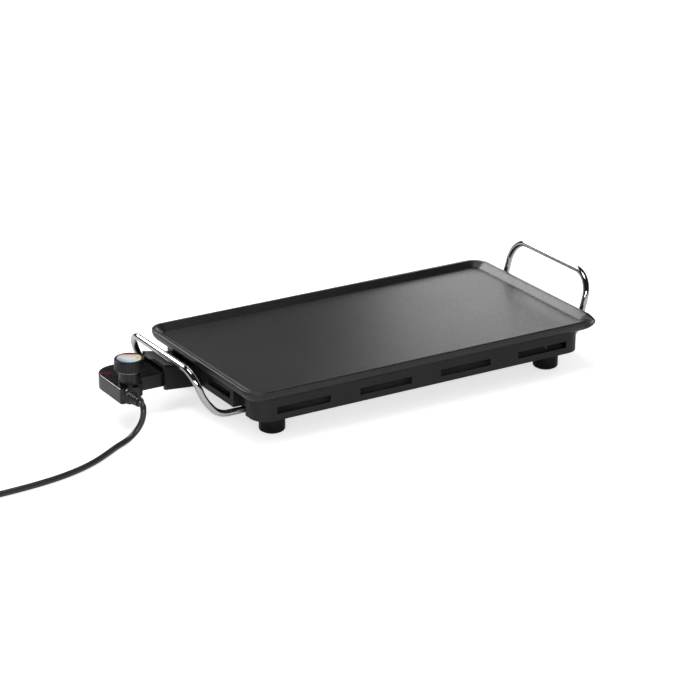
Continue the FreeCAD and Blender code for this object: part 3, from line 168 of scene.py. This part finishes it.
class Finish(Shading):
    """A material built from nodes round one Principled shader."""

    def __init__(self, name, **fixed):
        self.material = bpy.data.materials.new(name)
        self.material.use_nodes = True
        super().__init__(self.material.node_tree)
        self.shader = self.tree.nodes["Principled BSDF"]
        for socket, value in fixed.items():
            self.shader.inputs[socket.replace("_", " ")].default_value = value

    def feed(self, **changing):
        """Link what varies over the surface to the shader."""
        for socket, value in changing.items():
            self.join(self.shader.inputs[socket.replace("_", " ")], value)
        return self

    def lay_on(self, *things):
        """Give these objects this finish alone."""
        for thing in things:
            thing.data.materials.clear()
            thing.data.materials.append(self.material)


def colour(red, green, blue):
    return (red, green, blue, 1.0)


# The finishes, roughly from the largest surface to the smallest.


def plate_coating():
    """Satin non-stick coating: near black, finely pebbled, with sparse paler flecks."""
    finish = Finish("plate_coating", Specular_IOR_Level=0.5)
    pebbles = finish.noise(1400.0, 3.0, 0.6)
    mottle = finish.noise(420.0, 2.0, 0.7)
    flecks = finish.grains(330.0)
    fleck = 1 - flecks.above(0.2, 0.1)
    cloud = finish.noise(14.0, 3.0, 0.55)
    dark = finish.mix(cloud, colour(0.006, 0.006, 0.007), colour(0.011, 0.011, 0.012))
    skin = finish.mix(fleck * 0.5, dark, colour(0.06, 0.06, 0.062))
    roughness = 0.16 + 0.12 * pebbles + 0.26 * mottle + 0.05 * cloud
    relief = finish.bump(pebbles + 0.6 * mottle, 0.35, 0.00018)
    return finish.feed(Base_Color=skin, Roughness=roughness, Normal=relief)


def base_paint():
    """Black powder coat on the folded steel of the base."""
    finish = Finish("base_paint", Specular_IOR_Level=0.3)
    peel = finish.noise(900.0, 2.0, 0.5)
    cloud = finish.noise(22.0, 2.0, 0.5)
    tone = finish.mix(cloud, colour(0.010, 0.010, 0.011), colour(0.016, 0.016, 0.017))
    relief = finish.bump(peel, 0.25, 0.0001)
    return finish.feed(Base_Color=tone, Roughness=0.38 + 0.1 * peel, Normal=relief)


def moulding(name, tone, rough, grain_depth=0.00008, shine=0.5):
    """Black moulded plastic with a fine spark-eroded grain."""
    finish = Finish(name, Specular_IOR_Level=shine)
    grain = finish.noise(2600.0, 2.0, 0.6)
    cloud = finish.noise(60.0, 2.0, 0.5)
    paler = tuple(min(part * 1.5, 1.0) for part in tone)
    skin = finish.mix(cloud, colour(*tone), colour(*paler))
    relief = finish.bump(grain, 0.25, grain_depth)
    return finish.feed(Base_Color=skin, Roughness=rough + 0.1 * cloud, Normal=relief)


def chromed_wire():
    """Chrome with a faint ripple and a little haze."""
    finish = Finish("chromed_wire", Metallic=1.0)
    haze = finish.noise(35.0, 3.0, 0.6)
    tone = finish.mix(haze, colour(0.50, 0.505, 0.515), colour(0.60, 0.605, 0.61))
    ripple = finish.noise(140.0, 2.0, 0.5)
    relief = finish.bump(ripple, 0.05, 0.0002)
    return finish.feed(Base_Color=tone, Roughness=0.05 + 0.06 * haze, Normal=relief)


def bare_metal(name, tone, rough, brushed=(1.0, 1.0, 1.0), metallic=1.0):
    """Plain metal with brushing that runs along one axis."""
    finish = Finish(name, Metallic=metallic)
    lines = finish.noise(500.0, 3.0, 0.6, finish.place(brushed))
    dull = finish.noise(40.0, 2.0, 0.5)
    darker = tuple(part * 0.75 for part in tone)
    skin = finish.mix(dull, colour(*darker), colour(*tone))
    relief = finish.bump(lines, 0.2, 0.00005)
    return finish.feed(Base_Color=skin, Roughness=rough + 0.15 * lines, Normal=relief)


def element_sheath():
    """A steel heating tube, blued and browned by heat."""
    finish = Finish("element_sheath", Metallic=0.8)
    heat = finish.noise(18.0, 3.0, 0.6)
    skin = finish.mix(heat, colour(0.10, 0.075, 0.06), colour(0.22, 0.20, 0.19))
    return finish.feed(Base_Color=skin, Roughness=0.4 + 0.2 * heat)


def cable_sheath():
    """Soft black cable sheath, slightly shiny."""
    finish = Finish("cable_sheath", Specular_IOR_Level=0.5)
    grain = finish.noise(1200.0, 2.0, 0.5)
    cloud = finish.noise(50.0, 2.0, 0.5)
    skin = finish.mix(cloud, colour(0.020, 0.020, 0.021), colour(0.030, 0.030, 0.031))
    relief = finish.bump(grain, 0.15, 0.0001)
    return finish.feed(Base_Color=skin, Roughness=0.26 + 0.1 * cloud, Normal=relief)


def lens_plastic():
    """Dark red plastic over the pilot lamp, slightly cloudy."""
    finish = Finish("lens_plastic", Roughness=0.18, IOR=1.49, Coat_Weight=0.5)
    cloud = finish.noise(300.0, 2.0, 0.5)
    skin = finish.mix(cloud, colour(0.055, 0.012, 0.014), colour(0.09, 0.022, 0.024))
    return finish.feed(Base_Color=skin)


def lamp_glass():
    finish = Finish("lamp_glass", Roughness=0.08)
    warm = finish.noise(200.0, 1.0, 0.5)
    return finish.feed(Base_Color=finish.mix(warm, colour(0.7, 0.5, 0.35), colour(0.85, 0.7, 0.55)))


def ceramic():
    """Pale heat-resisting moulding of the terminals and the switch."""
    finish = Finish("ceramic", Specular_IOR_Level=0.4)
    speck = finish.noise(700.0, 3.0, 0.6)
    skin = finish.mix(speck, colour(0.50, 0.46, 0.38), colour(0.62, 0.58, 0.50))
    return finish.feed(Base_Color=skin, Roughness=0.55 + 0.2 * speck)


def foot_pad_rubber():
    finish = Finish("foot_pad_rubber", Specular_IOR_Level=0.35)
    grain = finish.noise(800.0, 3.0, 0.6)
    skin = finish.mix(grain, colour(0.012, 0.012, 0.012), colour(0.03, 0.03, 0.03))
    return finish.feed(Base_Color=skin, Roughness=0.8 + 0.1 * grain, Normal=finish.bump(grain, 0.3, 0.0001))


# The dial's print, in metres from the knob's axis. Its colours run from cold to hot along one
# direction, and turn bluer along another.
KNOB_AXIS = from_base(-325.5, 16.0, 0)
HOT_WAY = (0.497, 0.868)
COLD_WAY = (-0.99, -0.14)
DIAL_RIM = 0.0144
PRINT_EDGE = 0.0003
MARK_PLACE = (0.0098, -0.0048)
MARK_RADIUS = 0.0034
MARK_RING_RADIUS = 0.0042


def dial_print():
    """The printed dial: white, with ice blue at the low end, peach and pink towards the high end
    and a dark red band there, a yellow mark and a dark rim."""
    finish = Finish("dial_print", Roughness=0.2, Coat_Weight=0.6)
    x, y, _ = finish.axes(finish.place(shift=-KNOB_AXIS))
    heat = x * HOT_WAY[0] + y * HOT_WAY[1]
    cold = x * COLD_WAY[0] + y * COLD_WAY[1]
    skin = finish.mix(heat.above(-0.006, 0.010), colour(0.60, 0.80, 0.84), colour(0.86, 0.88, 0.88))
    skin = finish.mix(heat.above(0.006, 0.010), skin, colour(0.86, 0.50, 0.42))
    skin = finish.mix(cold.above(0.0095, 0.010), skin, colour(0.22, 0.36, 0.50))
    skin = finish.mix(heat.above(0.0108, 0.0012), skin, colour(0.30, 0.03, 0.03))
    across = x - MARK_PLACE[0]
    along = y - MARK_PLACE[1]
    from_mark = (across * across + along * along).root()
    for radius, tone in (
        (MARK_RING_RADIUS, colour(0.84, 0.82, 0.76)),
        (MARK_RADIUS, colour(0.86, 0.66, 0.04)),
    ):
        skin = finish.mix(1 - from_mark.above(radius, PRINT_EDGE), skin, tone)
    rim = (x * x + y * y).root().above(DIAL_RIM, PRINT_EDGE)
    return finish.feed(Base_Color=finish.mix(rim, skin, colour(0.02, 0.022, 0.035)))


FINISHES = {
    plate_coating(): ["grill_plate"],
    base_paint(): ["base_frame"],
    bare_metal("cover_sheet", (0.17, 0.17, 0.175), 0.5, (0.04, 1.0, 1.0), 0.5): ["bottom_plate"],
    moulding("thermostat_plastic", (0.005, 0.005, 0.0055), 0.18): [
        "socket_hood", "housing_lower", "housing_upper",
    ],
    moulding("foot_plastic", (0.003, 0.003, 0.0035), 0.08, 0.00003, 0.2): [
        "foot_front_left", "foot_back_left", "foot_front_right", "foot_back_right",
    ],
    moulding("knob_plastic", (0.006, 0.006, 0.0065), 0.24, shine=0.4): ["knob"],
    foot_pad_rubber(): ["foot_pads"],
    cable_sheath(): ["strain_relief", "plug_body", "mains_cord", "cord_coil", "cord_tail"],
    chromed_wire(): ["handle_left", "handle_right"],
    bare_metal("folded_tray", (0.72, 0.73, 0.75), 0.45, (0.04, 1.0, 1.0), 0.4): [
        "reflector_pan", "probe_guide",
    ],
    bare_metal("dark_chrome", (0.20, 0.20, 0.21), 0.12): ["knob_collar"],
    bare_metal("zinc_screws", (0.50, 0.50, 0.52), 0.32): [
        "bottom_screws", "plate_screws", "foot_screws", "pan_screws", "pan_spacers", "strap_screws",
        "handle_screws", "housing_screws", "element_straps", "terminal_pins", "probe_rod", "spindle",
    ],
    bare_metal("brass", (0.72, 0.52, 0.26), 0.25): ["contact_sleeves", "plug_pins"],
    element_sheath(): ["heating_element"],
    ceramic(): ["terminal_block", "contact_block", "switch_block"],
    moulding("clip_plastic", (0.020, 0.018, 0.017), 0.45, shine=0.3): ["handle_clips"],
    lens_plastic(): ["pilot_lens"],
    lamp_glass(): ["pilot_lamp"],
    dial_print(): ["dial_disc"],
}
for finish, names in FINISHES.items():
    finish.lay_on(*[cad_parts[name] for name in names])

# Edges that turn by more than this stay sharp.
SHARP_FROM = math.radians(50)

# The cast plate, in millimetres from the middle of the base on the table. Its rim's rounding and its
# inner wall are given as distances in from the outer edge and heights.
PLATE_HALF_LENGTH = 245.0
PLATE_HALF_WIDTH = 130.2
PLATE_CORNER = 22.0
LEAST_CORNER = 4.0
PLATE_BOTTOM = 52.2
PLATE_UNDER = 55.2
HOLLOW_INSET = 30.5
FLARE_RADIUS = 15.0
FLARE_TOP = 65.7
RIM_HEIGHT = 66.7
PAN_FLOOR = 60.2
RIM_ROUNDING = ((0.1, 66.2), (0.35, 66.55), (0.8, 66.7), (4.0, 66.7), (4.55, 66.6))
INNER_WALL = (
    (4.9, 66.4), (6.9, 65.0), (8.9, 63.7), (10.9, 62.35), (12.4, 61.3), (13.0, 60.93),
    (13.6, 60.6), (14.3, 60.32), (15.2, PAN_FLOOR), (16.4, PAN_FLOOR),
)
LIP_REACH = 4.7
LIP_DIP = 4.8
FLARE_STEPS = 12
CORNER_STEPS = 32
LONG_STEPS = 12
SHORT_STEPS = 8
LIP_CORNER = (1, -1)
CORNERS = {LIP_CORNER: -90, (1, 1): 0, (-1, 1): 90, (-1, -1): 180}


def plate_section():
    """The lines of the plate's section, from its underside round the rim to the pan's floor: each
    one's distance in from the outer edge, its height, and the shares of the pour lip's reach and
    dip that it takes."""
    lines = [(HOLLOW_INSET, PLATE_UNDER, 0, 0), (HOLLOW_INSET, PLATE_BOTTOM, 0, 0)]
    foot = math.asin((FLARE_TOP - PLATE_BOTTOM) / FLARE_RADIUS)
    for step in range(FLARE_STEPS + 1):
        angle = foot * (1 - step / FLARE_STEPS)
        height = FLARE_TOP - FLARE_RADIUS * math.sin(angle)
        rise = (height - PLATE_BOTTOM) / (RIM_HEIGHT - PLATE_BOTTOM)
        lines.append((FLARE_RADIUS * (1 - math.cos(angle)), height, rise ** 0.6, rise ** 1.5))
    lines += [(inset, height, 1, 1) for inset, height in RIM_ROUNDING]
    wall_top = INNER_WALL[0][1]
    for inset, height in INNER_WALL:
        share = (height - PAN_FLOOR) / (wall_top - PAN_FLOOR)
        lines.append((inset, height, share, share))
    return lines


def eased(share):
    """A soft step from 0 to 1."""
    share = min(max(share, 0), 1)
    return share * share * (3 - 2 * share)


def plate_line(inset, height, reach, dip):
    """One closed line round the plate, with the pour lip at the front right corner."""
    radius = max(PLATE_CORNER - inset, LEAST_CORNER)
    arcs = []
    for corner, start in CORNERS.items():
        middle_x = corner[0] * (PLATE_HALF_LENGTH - inset - radius)
        middle_y = corner[1] * (PLATE_HALF_WIDTH - inset - radius)
        arc = []
        for step in range(CORNER_STEPS + 1):
            share = step / CORNER_STEPS
            lip = eased(share * 3) * eased((1 - share) * 3) if corner == LIP_CORNER else 0
            angle = math.radians(start + 90 * share)
            out = radius + LIP_REACH * reach * lip
            arc.append((
                middle_x + out * math.cos(angle),
                middle_y + out * math.sin(angle),
                height - LIP_DIP * dip * lip,
            ))
        arcs.append(arc)
    line = []
    for place, arc in enumerate(arcs):
        start, end = Vector(arc[-1]), Vector(arcs[(place + 1) % 4][0])
        steps = SHORT_STEPS if place % 2 == 0 else LONG_STEPS
        line += arc + [start.lerp(end, step / steps) for step in range(1, steps)]
    return [from_base(*point) for point in line]


def cast_plate():
    """The plate as one smooth closed mesh through the lines of its section."""
    mesh = bpy.data.meshes.new("plate_casting")
    shape = bmesh.new()
    rows = [[shape.verts.new(point) for point in plate_line(*line)] for line in plate_section()]
    for low, high in zip(rows, rows[1:]):
        for place in range(len(low)):
            onward = (place + 1) % len(low)
            shape.faces.new((low[place], low[onward], high[onward], high[place]))
    shape.faces.new(rows[0])
    shape.faces.new(rows[-1])
    bmesh.ops.recalc_face_normals(shape, faces=shape.faces)
    shape.to_mesh(mesh)
    shape.free()
    mesh.shade_smooth()
    mesh.set_sharp_from_angle(angle=SHARP_FROM)
    mesh.materials.append(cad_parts["grill_plate"].data.materials[0])
    plate = bpy.data.objects.new("plate_casting", mesh)
    bpy.context.scene.collection.objects.link(plate)
    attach(plate, "grill")
    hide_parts("grill_plate")


cast_plate()

# The handles' wires: the corners of the back leg up to the grip, in millimetres from the middle of
# the base, each with the radius of its bend. The front leg mirrors the back one.
WIRE_DIAMETER = 8.0
WIRE_SIDES = 28
BEND_STEPS = 14
LEG_Y = 82.0
HANDLES = {
    "handle_left": [
        (-204.0, LEG_Y, 30.2, 0),
        (-262.0, LEG_Y, 30.2, 27),
        (-280.0, 80.4, 52.0, 60),
        (-292.3, 77.5, 86.0, 25),
    ],
    "handle_right": [
        (204.0, LEG_Y, 30.2, 0),
        (247.5, LEG_Y, 30.2, 17),
        (255.5, LEG_Y, 63.0, 40),
        (266.0, LEG_Y, 104.0, 29),
    ],
}


class Shaping(NodeTree):
    """A Geometry Nodes tree with named inputs. The first input is the object's own geometry."""

    def __init__(self, name, **inputs):
        super().__init__(bpy.data.node_groups.new(name, "GeometryNodeTree"))
        self.identifiers = {}
        for label, kind in inputs.items():
            socket = self.tree.interface.new_socket(label, in_out="INPUT", socket_type=kind)
            self.identifiers[label] = socket.identifier
        self.tree.interface.new_socket("shape", in_out="OUTPUT", socket_type="NodeSocketGeometry")
        entry = self.tree.nodes.new("NodeGroupInput")
        self.given = {label: Signal(self, entry.outputs[label]) for label in inputs}

    def end(self, shape, material):
        """End the tree with real geometry in this material."""
        real = self.node("GeometryNodeRealizeInstances", None, {"Geometry": shape})
        painted = self.node("GeometryNodeSetMaterial", None, {"Geometry": real, "Material": material})
        self.join(self.tree.nodes.new("NodeGroupOutput").inputs["shape"], painted)

    def make(self, thing, name, **values):
        """The plain mesh that the tree makes from an object, which it takes the place of."""
        modifier = thing.modifiers.new(self.tree.name, "NODES")
        modifier.node_group = self.tree
        for label, value in values.items():
            modifier[self.identifiers[label]] = value
        seen = thing.evaluated_get(bpy.context.evaluated_depsgraph_get())
        mesh = bpy.data.meshes.new_from_object(seen)
        mesh.name = name
        thing.modifiers.remove(modifier)
        bpy.data.objects.remove(thing)
        made = bpy.data.objects.new(name, mesh)
        bpy.context.scene.collection.objects.link(made)
        return made


def bent_wire():
    """The tree that rounds each corner of a route by the radius kept there, and draws a round
    wire along it."""
    tree = Shaping(
        "bent_wire", route="NodeSocketGeometry", diameter="NodeSocketFloat",
        material="NodeSocketMaterial",
    )
    bend = tree.node("GeometryNodeInputRadius")
    rounded = tree.node(
        "GeometryNodeFilletCurve", {"mode": "POLY"},
        {"Curve": tree.given["route"], "Count": BEND_STEPS, "Radius": bend, "Limit Radius": True},
    )
    even = tree.node("GeometryNodeSetCurveRadius", None, {"Curve": rounded, "Radius": 1.0})
    section = tree.node(
        "GeometryNodeCurvePrimitiveCircle", None,
        {"Resolution": WIRE_SIDES, "Radius": tree.given["diameter"] / 2},
    )
    drawn = tree.node(
        "GeometryNodeCurveToMesh", None, {"Curve": even, "Profile Curve": section, "Fill Caps": True}
    )
    tree.end(drawn, tree.given["material"])
    return tree


def wire_handle(tree, name, corners):
    """One handle's wire, in place of the CAD's."""
    mirrored = [(x, -y, z, bend) for x, y, z, bend in reversed(corners)]
    curve = bpy.data.curves.new(f"{name}_route", "CURVE")
    curve.dimensions = "3D"
    spline = curve.splines.new("POLY")
    spline.points.add(2 * len(corners) - 1)
    for point, (x, y, z, bend) in zip(spline.points, corners + mirrored):
        point.co = (*from_base(x, y, z), 1.0)
        point.radius = bend * MM
    route = bpy.data.objects.new(f"{name}_route", curve)
    bpy.context.scene.collection.objects.link(route)
    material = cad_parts[name].data.materials[0]
    wire = tree.make(route, f"{name}_wire", diameter=WIRE_DIAMETER * MM, material=material)
    wire.data.shade_smooth()
    wire.data.set_sharp_from_angle(angle=SHARP_FROM)
    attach(wire, "grill")
    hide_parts(name)


wire_tree = bent_wire()
for name, corners in HANDLES.items():
    wire_handle(wire_tree, name, corners)

# The mains cord is one curve: its free stretch, the coil of what the view doesn't show, and the
# short stretch to the plug. Its points are those of the cord's solids, in millimetres, but that it
# drops to the table up to 4 mm further to the left.
CORD_DIAMETER = 7.0
FREE_STRETCH = [
    (-334.0, -26.0, 41.0),
    (-334.0, -33.0, 41.0),
    (-335.6, -37.9, 35.0),
    (-336.8, -37.7, 25.5),
    (-340.6, -36.4, 16.0),
    (-349.0, -36.7, 7.8),
    (-360.0, -40.5, 3.9),
    (-377.0, -49.0, 3.6),
    (-397.0, -62.5, 3.6),
    (-420.0, -76.0, 3.6),
    (-446.0, -86.5, 3.6),
    (-473.0, -93.2, 3.6),
    (-500.0, -96.9, 3.6),
    (-527.0, -98.8, 3.6),
    (-553.0, -99.5, 3.6),
    (-578.0, -99.5, 3.6),
]
TO_PLUG = [
    (-625.075, -39.6, 11.3),
    (-626.0, -27.6, 13.6),
    (-627.6, -15.6, 17.5),
    (-627.6, -4.6, 17.5),
]
TURNS_IN = 3
CLIMB_TURNS = 0.5
TURNS_OUT = 2.75
COIL_RADIUS = 42.0
COIL_STEP = 7.7
COIL_MIDDLE = (-585.0, FREE_STRETCH[-1][1] + COIL_RADIUS, FREE_STRETCH[-1][2])
COIL_POINTS_EACH_TURN = 16


def coil_point(turns):
    """A point of the coil, which winds in along the table, climbs and winds out again on top."""
    share = min(max((turns - TURNS_IN) / CLIMB_TURNS, 0), 1)
    if turns <= TURNS_IN:
        radius = COIL_RADIUS - COIL_STEP * turns
    else:
        inner = COIL_RADIUS - COIL_STEP * TURNS_IN
        drawn_in = math.sin(math.pi * share) / 4
        radius = inner + COIL_STEP * (max(turns - TURNS_IN - CLIMB_TURNS, 0) - drawn_in)
    # The spline runs a little inside its points, so they stand a little further out.
    radius /= math.cos(math.pi / COIL_POINTS_EACH_TURN)
    angle = -math.pi / 2 - math.tau * turns
    rise = COIL_STEP * share * share * (3 - 2 * share)
    return (
        COIL_MIDDLE[0] + radius * math.cos(angle),
        COIL_MIDDLE[1] + radius * math.sin(angle),
        COIL_MIDDLE[2] + rise,
    )


def mains_cord():
    """The whole cord as one spline, from the strain relief to the plug."""
    steps = int((TURNS_IN + CLIMB_TURNS + TURNS_OUT) * COIL_POINTS_EACH_TURN)
    coil = [coil_point(step / COIL_POINTS_EACH_TURN) for step in range(steps + 1)]
    points = [from_base(*point) for point in FREE_STRETCH + coil + TO_PLUG]
    curve = bpy.data.curves.new("mains_lead", "CURVE")
    curve.dimensions = "3D"
    spline = curve.splines.new("NURBS")
    spline.points.add(len(points) - 1)
    for place, point in zip(spline.points, points):
        place.co = (*point, 1.0)
    spline.order_u = 3
    spline.use_endpoint_u = True
    spline.resolution_u = 6
    curve.bevel_depth = CORD_DIAMETER / 2 * MM
    curve.bevel_resolution = 5
    curve.use_fill_caps = True
    cord = bpy.data.objects.new("mains_lead", curve)
    bpy.context.scene.collection.objects.link(cord)
    cord.data.materials.append(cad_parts["mains_cord"].data.materials[0])
    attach(cord, "thermostat")
    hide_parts("mains_cord", "cord_coil", "cord_tail")


mains_cord()


# The floor, the light round it and the camera. The floor's glow is added only where it is seen or
# mirrored, and lights nothing.
FLOOR_GLOW = 0.63
MIRRORED_GLOW = 0.05
FLOOR_SIZE = 40.0
PAPER_TONE = 0.80
AIR_LIGHT = 0.34
ROOM_LIGHT = 0.02
BAND_LIGHT = 0.18
BAND_LIGHT_TO_THE_RIGHT = 0.6
WINDOW_LIGHT = 6.5


def studio():
    """A white floor that keeps the shadow, and air that is white where it is seen. Mirrored, the
    air is a dark room with a pale band low down behind the grill, brighter to the right, and a
    window higher up."""
    bpy.ops.mesh.primitive_plane_add(size=FLOOR_SIZE)
    floor = bpy.context.object
    floor.name = "floor"
    paper = Finish("floor_paper", Roughness=1.0, Specular_IOR_Level=0.0, Emission_Strength=1.0)
    paper.shader.inputs["Base Color"].default_value = colour(PAPER_TONE, PAPER_TONE, PAPER_TONE)
    glow = paper.rays("Camera") * FLOOR_GLOW + paper.rays("Glossy", "Transmission") * MIRRORED_GLOW
    paper.feed(Emission_Color=paper.mix(glow, colour(0, 0, 0), colour(1, 1, 1)))
    paper.lay_on(floor)

    world = bpy.data.worlds.new("studio_air")
    bpy.context.scene.world = world
    world.use_nodes = True
    air = Shading(world.node_tree)
    white = air.rays("Camera", "Transmission")
    mirrored = air.rays("Glossy")
    across, back, up = air.axes(air.node("ShaderNodeTexCoord", output="Generated"))
    band = (back * 1.5 + 0.2).clamped() * (1.9 - up * 6.0).clamped()
    band = band * (BAND_LIGHT + BAND_LIGHT_TO_THE_RIGHT * across.above(0.5, 0.4))
    window = back.above(0.55, 0.2) * up.above(0.48, 0.1) * (1 - up.above(0.75, 0.1))
    window = window * (1 - (across + 0.14).size().above(0.34, 0.14))
    room = ROOM_LIGHT + band + WINDOW_LIGHT * window
    light = AIR_LIGHT + mirrored * (room - AIR_LIGHT)
    air.join(air.tree.nodes["Background"].inputs["Strength"], light + white * (1 - light))
    air.tree.nodes["Background"].inputs["Color"].default_value = colour(1, 1, 1)


def softbox(name, place, target, size, power):
    """A rectangular lamp at a place, turned to a target, all in metres."""
    lamp = bpy.data.lights.new(name, "AREA")
    lamp.shape = "RECTANGLE"
    lamp.size, lamp.size_y = size
    lamp.energy = power
    thing = bpy.data.objects.new(name, lamp)
    bpy.context.scene.collection.objects.link(thing)
    thing.visible_camera = False
    thing.location = place
    thing.rotation_euler = (Vector(target) - Vector(place)).to_track_quat("-Z", "Y").to_euler()


# Each lamp's name, place, target, size and power, in metres and watts.
SOFTBOXES = (
    ("behind", (-0.38, 1.6, 1.2), (0, 0, 0.05), (1.0, 0.6), 14.0),
    ("behind_right", (0.80, 0.78, 0.36), (0.2, 0, 0.06), (0.4, 0.3), 1.3),
    ("top", (-0.2, -0.1, 2.1), (0, 0, 0), (1.0, 0.8), 15.0),
    ("front", (-0.9, -2.0, 0.75), (-0.05, -0.1, 0.03), (1.2, 0.4), 15.0),
    ("front_left", (-1.3, -1.05, 0.36), (-0.15, -0.1, 0.04), (0.2, 0.2), 2.5),
)

# Where the camera stands: its bearing round the base, its height, its tilt, how far off it is
# along its axis, and the pixel of the 700-pixel picture where the middle of the base falls.
PICTURE = 700.0
FOCAL_PIXELS = 2614.98
AZIMUTH = math.radians(-31.9297)
ELEVATION = math.radians(21.4693)
ROLL = math.radians(0.4630)
DISTANCE = 3.212157
BASE_PIXEL = (372.840, 372.862)
SENSOR = 36.0


def camera():
    """The camera of the photograph."""
    back = Vector((
        math.sin(AZIMUTH) * math.cos(ELEVATION),
        -math.cos(AZIMUTH) * math.cos(ELEVATION),
        math.sin(ELEVATION),
    ))
    level = Vector((math.cos(AZIMUTH), math.sin(AZIMUTH), 0))
    upright = back.cross(level)
    right = level * math.cos(ROLL) + upright * math.sin(ROLL)
    up = upright * math.cos(ROLL) - level * math.sin(ROLL)
    across, down = [(pixel - PICTURE / 2) / FOCAL_PIXELS * DISTANCE for pixel in BASE_PIXEL]
    stand = BASE_MIDDLE - right * across + up * down + back * DISTANCE
    data = bpy.data.cameras.new("camera")
    data.sensor_width = SENSOR
    data.lens = FOCAL_PIXELS / PICTURE * SENSOR
    thing = bpy.data.objects.new("camera", data)
    bpy.context.scene.collection.objects.link(thing)
    turn = Matrix((right, up, back)).transposed()
    thing.matrix_world = Matrix.Translation(stand) @ turn.to_4x4()
    bpy.context.scene.camera = thing


studio()
for lamp in SOFTBOXES:
    softbox(*lamp)
camera()
bpy.context.scene.view_settings.view_transform = "Standard"
